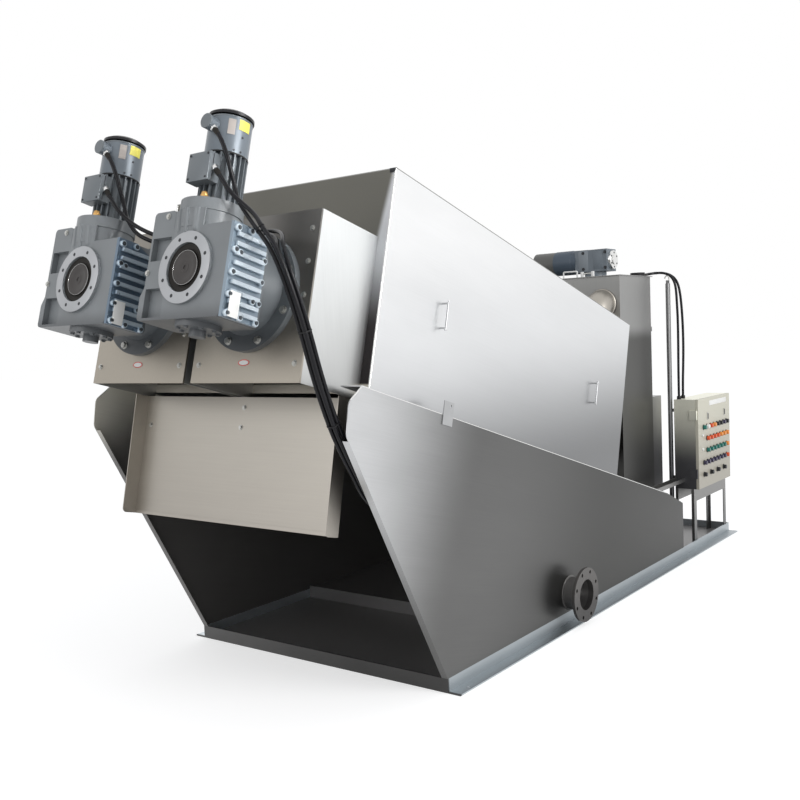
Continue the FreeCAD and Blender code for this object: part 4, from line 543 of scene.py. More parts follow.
def make_sheet_finishes():
    slope = (TILT, 0, 0)
    upright = (math.radians(90), 0, 0)
    sideways = (0, 0, math.radians(90))
    # Painted reflection and shade: the hood covers are light at the top and grey toward the
    # bottom.
    sheet_metal("hood_sheet", (0.245, 0.247, 0.25), (0.87, 0.875, 0.88), UP, 0.76, 1.50, 0.30,
                slope, 0.06, 0.12, shade=((0.87, 0.875, 0.88), DOWN, -1.9, -1.45))
    sheet_metal("roof_sheet", (0.20, 0.20, 0.19), (0.30, 0.30, 0.29))
    # Painted light and shade on the hood's front: a light strip toward its right edge, deep
    # painted shade lower down behind the boxes, and a plain light colour below the foot height.
    sheet_metal("hood_end", (0.14, 0.137, 0.122), (0.55, 0.56, 0.58), (1, 0, -0.15), 0.300, 0.330,
                0.40, shade=((0.08, 0.07, 0.07), DOWN, -1.82, -1.48),
                foot=(1.272, (0.78, 0.73, 0.64)))
    # Painted reflection and shade: the right panel is lighter toward its upper front and darker
    # low down and toward the rear.
    sheet_metal("panel_sheet", (0.128, 0.128, 0.126), (0.56, 0.565, 0.57), (0, -0.9, 0.45), 1.35,
                2.25, 0.33, slope, 0.12, 0.30, 0.9,
                shade=((0.38, 0.38, 0.37), (0, 0.9, -0.45), -1.2, 0.1))
    # Painted light and shade: the inside of the left panel is lighter at its top front and dark
    # lower down.
    sheet_metal("left_panel_sheet", (0.13, 0.125, 0.12), (0.60, 0.585, 0.52), (0, -0.3, 0.9),
                1.38, 1.66, 0.36, slope, 0.12, 0.30, 0.35)
    # Painted light: the discharge boxes are lighter toward the top.
    sheet_metal("box_sheet", (0.45, 0.455, 0.45), (0.70, 0.715, 0.715), (0.2, 0, 1), 1.25, 2.0,
                0.38, upright)
    # Painted shade: the gear plates are darker toward the top.
    sheet_metal("box_face", (0.355, 0.325, 0.28), (0.185, 0.18, 0.172), (0.3, 0, 1), 1.45, 2.05,
                0.40, upright)
    sheet_metal("chute_sheet", (0.38, 0.355, 0.32), (0.42, 0.395, 0.355), UP, 0.7, 1.2, 0.40,
                sideways)
    # Painted light and shade: the mixing tank is light near its top and dark below.
    sheet_metal("tank_sheet", (0.105, 0.105, 0.10), (0.34, 0.34, 0.335), UP, 1.36, 1.46, 0.36,
                upright)
    # Painted light: the rear chamber is lighter toward the top.
    sheet_metal("chamber_sheet", (0.16, 0.16, 0.165), (0.36, 0.36, 0.36), UP, 0.5, 0.95, 0.36,
                upright)
    sheet_metal("floor_sheet", (0.19, 0.185, 0.185), (0.22, 0.215, 0.21), metallic=0.3)
    # Painted light and shade: the base frame's front faces are dark and its feet light, darker
    # toward the right; its stronger clouds are painted patchy reflections.
    sheet_metal("base_steel", (0.110, 0.109, 0.108), (0.74, 0.80, 0.84), (0, 1, 0), -1.350,
                -1.338, 0.40, clouds=0.45, shade=((0.58, 0.58, 0.58), (1, 0, 0), -0.6, 0.4))
    # Painted shade: the cabinet stand is darker toward the floor.
    sheet_metal("stand_steel", (0.14, 0.143, 0.145), (0.27, 0.268, 0.262), UP, 0.0, 0.4, 0.40)
    # Painted shade: the conduit is darker toward its foot.
    sheet_metal("conduit_steel", (0.10, 0.10, 0.105), (0.23, 0.23, 0.23), UP, 0.6, 1.1, 0.40,
                upright)
    # Painted light: the cabinet door is lighter toward the top.
    sheet_metal("cabinet_paint", (0.37, 0.348, 0.29), (0.56, 0.545, 0.45), UP, 0.40, 0.97, 0.36,
                depth=0.02, clouds=0.10, metallic=0.0)
    # Painted light and reflection: the cabinet's sides are near black low down and near white at
    # the top.
    sheet_metal("cabinet_side", (0.08, 0.08, 0.085), (0.92, 0.91, 0.78), UP, 0.54, 0.97, 0.40,
                metallic=0.6)


def make_cast_finishes():
    # Painted light and shade: the outlet pipe is lighter than its flange, and both darken toward
    # the bottom.
    cast_paint("flange_steel", (0.20, 0.194, 0.188), 0.40, 0.6,
               above=((1, 0, 0), 0.790, (0.105, 0.100, 0.096)),
               shade=((0.42, 0.42, 0.43), DOWN, -0.24, -0.04))
    # Painted shade: the gear housings are darker between the box face and the back of the finned
    # cover, and below the screw axis.
    cast_paint("gear_paint", (0.20, 0.215, 0.225), 0.36,
               above=(tuple(-OUT), -(AXIS_OUT + COVER_BACK), (0.132, 0.146, 0.156)),
               shade=((0.50, 0.50, 0.51), tuple(-RISE), 0.12 - AXIS_RISE, 0.19 - AXIS_RISE))
    # The left cover is a darker copy of the right one, with deeper shade between its fins: painted
    # reflection and painted shade.
    gear_cover_finish("right_cover", AXIS_X, (0.66, 0.74, 0.80), (0.40, 0.44, 0.48))
    gear_cover_finish("left_cover", -AXIS_X, (0.56, 0.66, 0.74), (0.27, 0.31, 0.36))
    cast_paint("motor_paint", (0.15, 0.168, 0.182), 0.34, 0.2, 0.12)
    cast_paint("ring_face", (0.43, 0.44, 0.455), 0.34, 0.2, 0.10)
    cast_paint("cowl_paint", (0.155, 0.18, 0.205), 0.28, 0.3, 0.06,
               above=(tuple(RISE), AXIS_RISE + CANOPY_FOOT, (0.012, 0.012, 0.014)))
    cast_paint("mixer_paint", (0.10, 0.10, 0.095), 0.42, depth=0.12,
               above=((1, 0, 0), -0.025, (0.05, 0.072, 0.10)))
    cast_paint("mixer_casting", (0.14, 0.165, 0.19))
    cast_paint("mixer_flange", (0.20, 0.225, 0.25))


make_sheet_finishes()
make_cast_finishes()
for finish, values in EVEN.items():
    smooth_finish(finish, *values)

# Nodes of the model that wear each finish
NODES_IN = {
    "base_steel": "base_frame",
    "floor_sheet": "floor_plate rear_floor filtrate_weir tank_bottom",
    "panel_sheet": "right_side_panel back_wall hood_rear",
    "left_panel_sheet": "left_side_panel",
    "flange_steel": "outlet_stub",
    "hood_sheet": "left_hood_cover right_hood_cover",
    "roof_sheet": "hood_roof",
    "hood_end": "hood_front",
    "chute_sheet": "discharge_chute left_feed_pipe right_feed_pipe",
    "box_sheet": "left_discharge_box right_discharge_box",
    "box_face": "left_gear_plate right_gear_plate",
    "gear_paint": "left_gear_housing right_gear_housing",
    "left_cover": "left_gear_cover",
    "right_cover": "right_gear_cover",
    "bright_steel": "left_screw_shaft right_screw_shaft",
    "motor_paint": "left_motor right_motor left_terminal_box right_terminal_box",
    "cowl_paint": "left_fan_cowl right_fan_cowl",
    "tank_sheet": "mixing_tank mixing_tank_lid cable_trunking",
    "chamber_sheet": "rear_chamber rear_chamber_lid",
    "mixer_paint": "mixer_motor",
    "mixer_casting": "mixer_gear",
    "cabinet_side": "cabinet_body cabinet_hinges",
    "cabinet_paint": "cabinet_door",
    "black_plastic": "door_buttons cabinet_glands level_probe",
    "stand_steel": "cabinet_stand cable_tray",
    "conduit_steel": "cable_conduit",
    "handle_steel": "handles",
}


def finish_nodes():
    for finish, names in NODES_IN.items():
        for name in names.split():
            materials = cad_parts[name].data.materials
            materials.clear()
            materials.append(FINISH[finish])


# Shapes

def full_turn(count):
    """Angles of a number of even steps round a circle."""
    return [2 * math.pi * i / count for i in range(count)]


def on_circle(radius, turn, height):
    """Point on a circle round the local Z axis."""
    return Vector((radius * math.cos(turn), radius * math.sin(turn), height))


def bridge(bm, first, second):
    """Faces between two rings that have as many corners."""
    for i in range(len(first)):
        j = (i + 1) % len(first)
        bm.faces.new((first[i], first[j], second[j], second[i]))


def lathe(profile, place, segments=56):
    """Closed turned shape from (radius, height) points; radius 0 is a pole."""
    bm = bmesh.new()
    rings = []
    for radius, height in profile:
        turns = full_turn(segments) if radius else [0]
        rings.append([bm.verts.new(place @ on_circle(radius, turn, height)) for turn in turns])
    pairs = list(zip(rings, rings[1:]))
    if len(rings[0]) > 1:
        pairs.append((rings[-1], rings[0]))
    for first, second in pairs:
        for i in range(segments):
            j = (i + 1) % segments
            if len(first) == 1:
                bm.faces.new((first[0], second[i], second[j]))
            elif len(second) == 1:
                bm.faces.new((first[i], second[0], first[j]))
            else:
                bm.faces.new((first[i], second[i], second[j], first[j]))
    return bm


def block(low, high, place, bevel):
    """Box between two corners, in a frame if one is given, with rounded edges."""
    bm = bmesh.new()
    bmesh.ops.create_cube(bm, size=1)
    for vert in bm.verts:
        vert.co = Vector([low[i] + (vert.co[i] + 0.5) * (high[i] - low[i]) for i in range(3)])
    bmesh.ops.bevel(bm, geom=bm.edges[:], offset=bevel, segments=2, profile=0.5,
                    affect="EDGES")
    if place:
        bmesh.ops.transform(bm, matrix=place, verts=bm.verts[:])
    return bm


def field(columns, rows, top, under, place):
    """Closed plate on an even underside, with its top height a function of local X and Y."""
    bm = bmesh.new()
    upper = [[bm.verts.new(place @ Vector((x, y, top(x, y)))) for x in columns] for y in rows]
    lower = [[bm.verts.new(place @ Vector((x, y, under))) for x in columns] for y in rows]
    for j in range(len(rows) - 1):
        for i in range(len(columns) - 1):
            for grid in (upper, lower):
                bm.faces.new((grid[j][i], grid[j][i + 1], grid[j + 1][i + 1], grid[j + 1][i]))
    last = len(rows) - 1, len(columns) - 1
    for i in range(last[1]):
        for j in (0, last[0]):
            bm.faces.new((upper[j][i], upper[j][i + 1], lower[j][i + 1], lower[j][i]))
    for j in range(last[0]):
        for i in (0, last[1]):
            bm.faces.new((upper[j][i], upper[j + 1][i], lower[j + 1][i], lower[j][i]))
    return bm


def curved_plate(place, radius, turns, heights):
    """Thin plate bent round the local Z axis between two angles, in degrees."""
    wall, steps = 0.0012, 10
    start, end = (math.radians(t) for t in turns)
    angles = [start + (end - start) * i / steps for i in range(steps + 1)]
    bm = bmesh.new()
    grid = {}
    for i, t in enumerate(angles):
        for j, z in enumerate(heights):
            for k, r in enumerate((radius - wall, radius + wall)):
                grid[i, j, k] = bm.verts.new(place @ on_circle(r, t, z))
    for i in range(steps):
        bm.faces.new((grid[i, 0, 1], grid[i + 1, 0, 1], grid[i + 1, 1, 1], grid[i, 1, 1]))
        bm.faces.new((grid[i, 0, 0], grid[i, 1, 0], grid[i + 1, 1, 0], grid[i + 1, 0, 0]))
        for j in (0, 1):
            bm.faces.new((grid[i, j, 0], grid[i + 1, j, 0], grid[i + 1, j, 1], grid[i, j, 1]))
    for i in (0, steps):
        bm.faces.new((grid[i, 0, 0], grid[i, 0, 1], grid[i, 1, 1], grid[i, 1, 0]))
    return bm


def tube(points, radii, segments=20):
    """Round bar along points, with one radius a point and closed ends."""
    bm = bmesh.new()
    rings = []
    side = None
    for i, point in enumerate(points):
        ahead = points[min(i + 1, len(points) - 1)] - points[max(i - 1, 0)]
        ahead.normalize()
        if side is None:
            side = ahead.orthogonal().normalized()
        side = (side - ahead * side.dot(ahead)).normalized()
        other = ahead.cross(side)
        rings.append([bm.verts.new(point + (side * math.cos(t) + other * math.sin(t)) * radii[i])
                      for t in full_turn(segments)])
    for first, second in zip(rings, rings[1:]):
        bridge(bm, first, second)
    for ring in (rings[0], rings[-1]):
        bm.faces.new(ring)
    return bm


def round_bar(points, radius, segments=12):
    """Round bar of one thickness, straight from point to point."""
    return tube(vectors(*points), [radius] * len(points), segments)


def smooth_curve(name, points, resolution):
    """Curve from the first point to the last that rounds off the points between them."""
    curve = bpy.data.curves.new(name, "CURVE")
    curve.dimensions = "3D"
    curve.resolution_u = resolution
    spline = curve.splines.new("NURBS")
    spline.points.add(len(points) - 1)
    for target, point in zip(spline.points, points):
        target.co = (*point, 1)
    spline.order_u = 3
    spline.use_endpoint_u = True
    return curve


def line_points(curve):
    """Points of a curve's own line, without its thickness."""
    bare = curve.copy()
    bare.bevel_depth = 0
    holder = add_object("line", bare)
    mesh = bpy.data.meshes.new_from_object(holder)
    points = [vert.co.copy() for vert in mesh.vertices]
    bpy.data.objects.remove(holder)
    bpy.data.meshes.remove(mesh)
    bpy.data.curves.remove(bare)
    return points


def bent_bar(points, radius):
    """Round bar along points, with its corners rounded off."""
    return round_bar(line_points(smooth_curve("bent_bar", points, 10)), radius, 16)


def add_piece(name, shapes, body="machine", ride=True):
    """One object from (bmesh, finish) pairs, with clean outward faces."""
    whole = bmesh.new()
    finishes = []
    for shape, finish in shapes:
        if finish not in finishes:
            finishes.append(finish)
        bmesh.ops.remove_doubles(shape, verts=shape.verts[:], dist=1e-6)
        bmesh.ops.recalc_face_normals(shape, faces=shape.faces[:])
        for face in shape.faces:
            face.material_index = finishes.index(finish)
        part = bpy.data.meshes.new("part")
        shape.to_mesh(part)
        shape.free()
        whole.from_mesh(part)
        bpy.data.meshes.remove(part)
    mesh = bpy.data.meshes.new(name)
    whole.to_mesh(mesh)
    whole.free()
    for finish in finishes:
        mesh.materials.append(FINISH[finish])
    mesh.shade_smooth()
    mesh.set_sharp_from_angle(angle=math.radians(PIECE_CREASE))
    piece = add_object(name, mesh)
    if ride:
        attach(piece, body)
    return piece


# Fasteners, set out by Geometry Nodes

def make_fastener_tree():
    """Sets a chamfered head on a round collar at each point, along its facing direction."""
    tree = bpy.data.node_groups.new("fasteners", "GeometryNodeTree")
    for label, kind in (("Places", "Geometry"), ("Sides", "Int"), ("Radius", "Float"),
                        ("Height", "Float"), ("Collar", "Float"), ("Collar Height", "Float"),
                        ("Seed", "Int"), ("Finish", "Material")):
        tree.interface.new_socket(label, in_out="INPUT", socket_type=f"NodeSocket{kind}")
    tree.interface.new_socket("Set Out", in_out="OUTPUT", socket_type="NodeSocketGeometry")
    given = tree.nodes.new("NodeGroupInput").outputs
    sides, radius, height, collar = (given[k] for k in ("Sides", "Radius", "Height", "Collar"))

    def share(value, part):
        return add_math(tree, "MULTIPLY", value, part)

    def frustum(count, bottom, top, depth):
        return add_node(tree, "GeometryNodeMeshCone",
                        {"Vertices": count, "Radius Bottom": bottom, "Radius Top": top,
                         "Depth": depth}).outputs["Mesh"]

    join = tree.nodes.new("GeometryNodeJoinGeometry")
    for shape in (frustum(sides, radius, radius, share(height, 0.86)),
                  frustum(sides, share(radius, 0.999), share(radius, 0.86), height),
                  frustum(28, collar, share(collar, 0.97), given["Collar Height"])):
        tree.links.new(shape, join.inputs[0])
    facing = add_node(tree, "GeometryNodeInputNamedAttribute", {"Name": "facing"},
                      data_type="FLOAT_VECTOR")
    align = add_node(tree, "FunctionNodeAlignRotationToVector",
                     {"Vector": facing.outputs["Attribute"]}, axis="Z")
    chance = add_node(tree, "FunctionNodeRandomValue", {3: math.pi / 3, "Seed": given["Seed"]},
                      data_type="FLOAT")
    spin = add_node(tree, "ShaderNodeCombineXYZ", {"Z": chance.outputs[1]})
    turn = add_node(tree, "FunctionNodeRotateRotation",
                    {"Rotation": align.outputs["Rotation"], "Rotate By": spin.outputs[0]},
                    rotation_space="LOCAL")
    instance = add_node(tree, "GeometryNodeInstanceOnPoints",
                        {"Points": given["Places"], "Instance": join.outputs[0],
                         "Rotation": turn.outputs[0]})
    realize = add_node(tree, "GeometryNodeRealizeInstances", {0: instance.outputs[0]})
    finish = add_node(tree, "GeometryNodeSetMaterial",
                      {"Geometry": realize.outputs[0], "Material": given["Finish"]})
    tree.links.new(finish.outputs[0], tree.nodes.new("NodeGroupOutput").inputs[0])
    return tree


FASTENERS = make_fastener_tree()
FASTENER_SOCKETS = {item.name: item.identifier for item in FASTENERS.interface.items_tree
                    if item.in_out == "INPUT"}

# Heads in metres: sides, radius, height, radius and height of the collar, seed of the turns
HEADS = {
    "cover_boss": (24, 0.0125, 0.0165, 0.0075, 0.0020, 3),
    "cover_screw": (6, 0.0068, 0.0045, 0.0084, 0.0008, 4),
    "ring_screw": (20, 0.0066, 0.0010, 0.0070, 0.0006, 5),
    "flange_bolt": (6, 0.0135, 0.0125, 0.0160, 0.0030, 6),
    "front_plug": (6, 0.0085, 0.0075, 0.0115, 0.0030, 7),
    "sump_bolt": (6, 0.0085, 0.0075, 0.0110, 0.0020, 8),
    "plate_bolt": (6, 0.0085, 0.0070, 0.0115, 0.0016, 9),
    "cowl_screw": (16, 0.0040, 0.0022, 0.0024, 0.0020, 10),
    "terminal_screw": (16, 0.0042, 0.0026, 0.00252, 0.0020, 11),
    "chute_bolt": (6, 0.0085, 0.0065, 0.0115, 0.0016, 12),
    "mixer_bolt": (6, 0.0080, 0.0055, 0.0100, 0.0020, 13),
    "mixer_screw": (16, 0.0060, 0.0014, 0.0036, 0.0020, 14),
    "button_collar": (28, 0.0168, 0.0045, 0.01008, 0.0020, 15),
    "button": (24, 0.0138, 0.0175, 0.00828, 0.0020, 16),
    "door_knob": (20, 0.0090, 0.0090, 0.0054, 0.0020, 17),
}


def fasten(name, head, places, finish, slot, body="machine", ride=True):
    """Heads of one kind at (point, direction) places, as one mesh."""
    mesh = bpy.data.meshes.new(name)
    mesh.from_pydata([tuple(point) for point, _ in places], [], [])
    facing = mesh.attributes.new("facing", "FLOAT_VECTOR", "POINT")
    for i, (_, way) in enumerate(places):
        facing.data[i].vector = tuple(way)
    piece = add_object(name, mesh)
    modifier = piece.modifiers.new("fasteners", "NODES")
    modifier.node_group = FASTENERS
    values = zip(("Sides", "Radius", "Height", "Collar", "Collar Height", "Seed"), HEADS[head])
    for label, value in (*values, ("Finish", FINISH[finish])):
        modifier[FASTENER_SOCKETS[label]] = value
    evaluated = piece.evaluated_get(bpy.context.evaluated_depsgraph_get())
    made = bpy.data.meshes.new_from_object(evaluated)
    piece.modifiers.remove(modifier)
    piece.data = made
    made.name = name
    made.shade_smooth()
    made.set_sharp_from_angle(angle=math.radians(HEAD_CREASE))
    if ride:
        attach(piece, body)
    return piece


def circle_places(frame_at, radius, count, height, start, way=None):
    """Places round a circle in a frame's local XY, that face its local Z or a given way."""
    out = way or (frame_at.to_3x3() @ UPWARD)
    places = []
    for turn in full_turn(count):
        at = on_circle(radius, math.radians(start) + turn, height)
        places.append((frame_at @ at, out))
    return places


# Cables

RIGHT_PAIR = ("right_fan_cable", "right_motor_cable")
LEFT_PAIR = ("left_fan_cable", "left_motor_cable")
# Ties round the cables: name, cables, and a point near the place
TIES = (
    ("upper_tie", RIGHT_PAIR, (0.568, -2.1355, 1.836)),
    ("middle_tie", RIGHT_PAIR + LEFT_PAIR, (0.672, -2.048, 1.483)),
    ("lower_tie", RIGHT_PAIR + LEFT_PAIR, (0.675, -1.930, 1.150)),
    ("left_tie", LEFT_PAIR, (-0.026, -2.073, 1.851)),
    ("lid_tie", ("lid_cable_1", "lid_cable_2"), (0.485, 1.540, 1.790)),
)
TIE_RADIUS = 0.0083
TIE_HALF_WIDTH = 0.0024
TIE_THICKNESS = 0.0013
RELIEF_LENGTH = 0.030
RELIEF_STEPS = 8


def make_cables():
    cables = {}
    for name, route in ROUTES.items():
        curve = smooth_curve(name, route, 8)
        curve.bevel_depth = CABLE_SIZE / 2
        curve.bevel_resolution = 4
        curve.use_fill_caps = True
        curve.materials.append(FINISH["cable_rubber"])
        cables[name] = add_object(f"{name}_sheath", curve)
    lines = {name: line_points(cable.data) for name, cable in cables.items()}
    with_pieces = {name: [] for name in cables}
    for name, line in lines.items():
        with_pieces[name].append(make_relief(f"{name}_relief", line))
    for name, members, at in TIES:
        tie = make_tie(name, [lines[member] for member in members], Vector(at))
        with_pieces[members[0]].append(tie)
    for name, cable in cables.items():
        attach(cable, "machine")
        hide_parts(name)
        for piece in with_pieces[name]:
            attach(piece, "machine")


def make_relief(name, line):
    """Rubber sleeve that tapers from the gland onto the start of a cable."""
    shares = [i / RELIEF_STEPS for i in range(RELIEF_STEPS + 1)]
    points = [point_along(line, RELIEF_LENGTH * share) for share in shares]
    radii = [0.0108 - 0.0025 * share for share in shares]
    radii[0] = 0.0100
    return add_piece(name, [(tube(points, radii), "seal_rubber")], ride=False)


def point_along(line, goal):
    """Point of a line at a distance from its start."""
    for first, second in zip(line, line[1:]):
        step = (second - first).length
        if goal <= step:
            return first.lerp(second, goal / step)
        goal -= step
    return line[-1].copy()


def make_tie(name, lines, at):
    """Flat strap round the cables, square to their run, with its small lock."""
    ahead = Vector()
    for line in lines:
        i = min(range(1, len(line) - 1), key=lambda k: (line[k] - at).length)
        ahead += (line[i + 1] - line[i - 1]).normalized()
    ahead.normalize()
    centres = []
    for line in lines:
        i = min(range(len(line) - 1),
                key=lambda k: abs((line[k] - at).dot(ahead)) + 0.3 * (line[k] - at).length)
        first, second = line[i], line[i + 1]
        share = (at - first).dot(ahead) / max(1e-9, (second - first).dot(ahead))
        centres.append(first + (second - first) * max(-1.0, min(1.5, share)))
    side = ahead.orthogonal().normalized()
    other = ahead.cross(side)
    flat = []
    for centre in centres:
        x, y = (centre - at).dot(side), (centre - at).dot(other)
        for t in full_turn(24):
            flat.append((x + TIE_RADIUS * math.cos(t), y + TIE_RADIUS * math.sin(t)))
    outline = hull(flat)
    middle = (sum(p[0] for p in outline) / len(outline), sum(p[1] for p in outline) / len(outline))
    bm = bmesh.new()
    loops = []
    for grow, shift in ((0.0, -TIE_HALF_WIDTH), (TIE_THICKNESS, -TIE_HALF_WIDTH),
                        (TIE_THICKNESS, TIE_HALF_WIDTH), (0.0, TIE_HALF_WIDTH)):
        loop = []
        for x, y in outline:
            away = Vector((x - middle[0], y - middle[1])).normalized() * grow
            loop.append(bm.verts.new(at + side * (x + away.x) + other * (y + away.y)
                                     + ahead * shift))
        loops.append(loop)
    for first, second in zip(loops, loops[1:] + loops[:1]):
        bridge(bm, first, second)
    x, y = min(outline, key=lambda p: (side * p[0] + other * p[1]).y)
    lock_at = at + side * x + other * y
    lock = block((-0.0035, -0.0025, -0.003), (0.0035, 0.0025, 0.003),
                 framed(lock_at, side, other, ahead), 0.0006)
    return add_piece(name, [(bm, "black_plastic"), (lock, "black_plastic")],
                     ride=False)


def hull(points):
    """Outline of flat points, without dents."""
    points = sorted(set(points))

    def turning(a, b, c):
        return (b[0] - a[0]) * (c[1] - a[1]) - (b[1] - a[1]) * (c[0] - a[0])

    def half(ordered):
        chain = []
        for p in ordered:
            while len(chain) > 1 and turning(chain[-2], chain[-1], p) <= 0:
                chain.pop()
            chain.append(p)
        return chain[:-1]

    return half(points) + half(reversed(points))


# Gear units

def make_shaft_end(name, side):
    """Dark face of the shaft end with its bright edge, and the flat seal round it."""
    place = face_frame(side)
    cap = lathe([(0, .318), (.0600, .318), (.0606, .3186), (.0606, .3402), (.0598, .3410),
                 (.0420, .3414), (.0400, .3404), (.0180, .3400), (.0172, .3408), (.0085, .3408),
                 (.0080, .3385), (0, .3385)], place)
    edge = lathe([(.0606, .3250), (.0626, .3250), (.0629, .3260), (.0629, .3410), (.0622, .3422),
                  (.0610, .3422), (.0606, .3414)], place)
    add_piece(f"{name}_shaft_cap", [(cap, "dark_shaft"), (edge, "shaft_edge")],
              f"{name}_shaft")
    lip = lathe([(.0645, .3185), (.0884, .3175), (.0884, .3372), (.0872, .3380), (.0800, .3372),
                 (.0780, .3358), (.0700, .3352), (.0680, .3372), (.0655, .3368),
                 (.0645, .3350)], place, 64)
    add_piece(f"{name}_lip_seal", [(lip, "seal_rubber")])
    face = lathe([(.0892, .3450), (.1296, .3450), (.1299, .3456), (.1299, .3470), (.1292, .3474),
                  (.0898, .3474), (.0892, .3468)], place, 80)
    add_piece(f"{name}_ring_face", [(face, "ring_face")])


# Ribs of the adapter: middle across the unit, and height of the foot
ADAPTER_RIBS = ((-0.066, 0.128), (-0.020, 0.120), (0.022, 0.128))
RIB_HALF_WIDTH = 0.011
RIB_HEIGHT = 0.006
ADAPTER_RADIUS = 0.1105
APRON_UNDERSIDE = 0.329

# Circles and rows of the screws of a gear unit
RING_CIRCLE = 0.1085
FLANGE_CIRCLE = 0.200
SUMP_CIRCLE = 0.070
PLATE_BOLTS_X = (-0.250, 0.250)
PLATE_BOLTS_Z = (0.232, 0.108, -0.017, -0.142, -0.268)


def clamped(value):
    return min(1.0, max(0.0, value))


def adapter_step(x, z):
    """Front of the adapter's apron: a cylinder that runs out into the housing's face.

    The bulge grows from its foot upward, and the foot and both sides fade into the face.
    """
    across = x - ADAPTER_X
    round_front = ADAPTER_OUT + math.sqrt(max(0.0, ADAPTER_RADIUS ** 2 - across ** 2))
    bulge = max(0.0, round_front - 0.335) * (0.35 + 0.65 * clamped((z - 0.118) / 0.075))
    fade = clamped((z - 0.100) / 0.016)
    rib = 0.0
    for centre, foot in ADAPTER_RIBS:
        near = max(0.0, 1 - (abs(x - centre) / RIB_HALF_WIDTH) ** 4)
        rib = max(rib, RIB_HEIGHT * near * clamped((z - foot) / 0.010))
    edge = clamped((0.072 - abs(x + 0.022)) / 0.014)
    return HOUSING_FACE + (bulge * fade + rib + 0.0022 * fade) * edge


def make_adapter(name, side):
    """Flange and ribbed apron below the motor, with the breather beside it."""
    band = lathe([(.1075, .2130), (.1120, .2130), (.1130, .2142), (.1130, .2545),
                  (.1115, .2562), (.1060, .2562)],
                 motor_frame(side, ADAPTER_X, ADAPTER_OUT), 72)
    columns = [-0.098 + 0.152 * i / 56 for i in range(57)]
    rows = [0.098 + 0.117 * i / 30 for i in range(31)]
    apron = field(columns, rows, adapter_step, APRON_UNDERSIDE, face_frame(side))
    shelf = block((-0.076, 0.150, 0.200), (0.030, 0.212, 0.3405), face_frame(side), 0.004)
    add_piece(f"{name}_adapter_flange",
              [(band, "gear_paint"), (apron, "gear_paint"), (shelf, "gear_paint")])
    at = motor_frame(side, 0.027, 0.326, 0.256)
    breather = lathe([(0, 0), (.0130, 0), (.0135, .0008), (.0135, .0088), (.0120, .0100),
                      (.0112, .0170), (.0090, .0198), (0, .0205)], at, 24)
    nut = lathe([(0, -.001), (.0150, -.001), (.0152, 0), (.0152, .0062), (.0140, .0072),
                 (0, .0072)], at, 6)
    add_piece(f"{name}_breather", [(breather, "brass"), (nut, "brass")])


# Screws of the finned cover, as (distance in front of the box face, height above the axis)
COVER_SCREWS = (
    (0.322, 0.128), (0.322, 0.052), (0.322, -0.025), (0.322, -0.101), (0.322, -0.166),
    (0.187, 0.050), (0.187, -0.025), (0.187, -0.101), (0.187, -0.168), (0.262, 0.133),
    (0.262, -0.168), (0.217, -0.101), (0.300, 0.047))


def make_gear_fittings(name, side):
    """Blank plate, bosses, screws and bolts of one gear unit, and the mark below it."""
    flank = framed(in_unit(side, 0, 0, 0), RISE, OUT, ACROSS)
    plate = block((-0.178, 0.277, 0.2275), (-0.089, 0.324, 0.2296), flank, 0.0006)
    add_piece(f"{name}_cover_plate", [(plate, "blank_plate")])
    bosses = [(flank @ Vector((z, out, 0.2105)), ACROSS) for out, z in COVER_SCREWS]
    fasten(f"{name}_cover_bosses", "cover_boss", bosses, f"{name}_cover", "cast_aluminium")
    tops = [(at + ACROSS * 0.0160, ACROSS) for at, _ in bosses]
    fasten(f"{name}_cover_screws", "cover_screw", tops, "cover_screw", "cast_aluminium")
    face = face_frame(side)
    ring = circle_places(face, RING_CIRCLE, 8, 0.3470, 22.5)
    fasten(f"{name}_ring_screws", "ring_screw", ring, "dark_bolt", "gear_paint")
    flange = circle_places(face, FLANGE_CIRCLE, 8, 0.0250, 22.5)
    fasten(f"{name}_flange_bolts", "flange_bolt", flange, "bolt_steel", "stainless")
    plugs = [(in_unit(side, x, HOUSING_FACE, z), OUT)
             for x, z in ((-0.135, 0.200), (-0.205, -0.004))]
    fasten(f"{name}_front_plugs", "front_plug", plugs, "bolt_steel", "gear_paint")
    below = motor_frame(side, 0.0, 0.2425, -0.1995)
    sump = circle_places(below, SUMP_CIRCLE, 8, 0.0, 12, -RISE)
    fasten(f"{name}_sump_bolts", "sump_bolt", sump, "gear_paint", "gear_paint")
    edge = [(in_unit(side, x, 0.0, z), OUT) for x in PLATE_BOLTS_X for z in PLATE_BOLTS_Z]
    fasten(f"{name}_plate_bolts", "plate_bolt", edge, "bolt_steel", "stainless")
    low = face_frame(side, -0.006, 0.0, -0.262)
    rim = lathe([(0, 0), (.0290, 0), (.0296, .0004), (.0296, .0010), (.0286, .0014),
                 (.0270, .0010), (0, .0010)], low @ Matrix.Diagonal((1, 0.42, 1, 1)), 40)
    blank = lathe([(0, .0008), (.0240, .0008), (.0244, .0012), (0, .0014)],
                  low @ Matrix.Diagonal((1, 0.36, 1, 1)), 40)
    add_piece(f"{name}_turning_mark", [(rim, "red_rim"), (blank, "blank_plate")])


def gland_shapes(at, start, end):
    """Nut and domed cap of a cable gland that points down and to the right."""
    place = framed(at, OUT, OUT.cross(GLAND_WAY), GLAND_WAY)
    nut = lathe([(0, start), (.0132, start), (.0138, start + .0008), (.0138, start + .0062),
                 (.0130, start + .0070), (0, start + .0070)], place, 6)
    dome = lathe([(0, start + .006), (.0122, start + .006), (.0122, end - .006),
                  (.0108, end - .001), (.0085, end), (0, end)], place, 28)
    return [(nut, "bright_steel"), (dome, "bright_steel")]


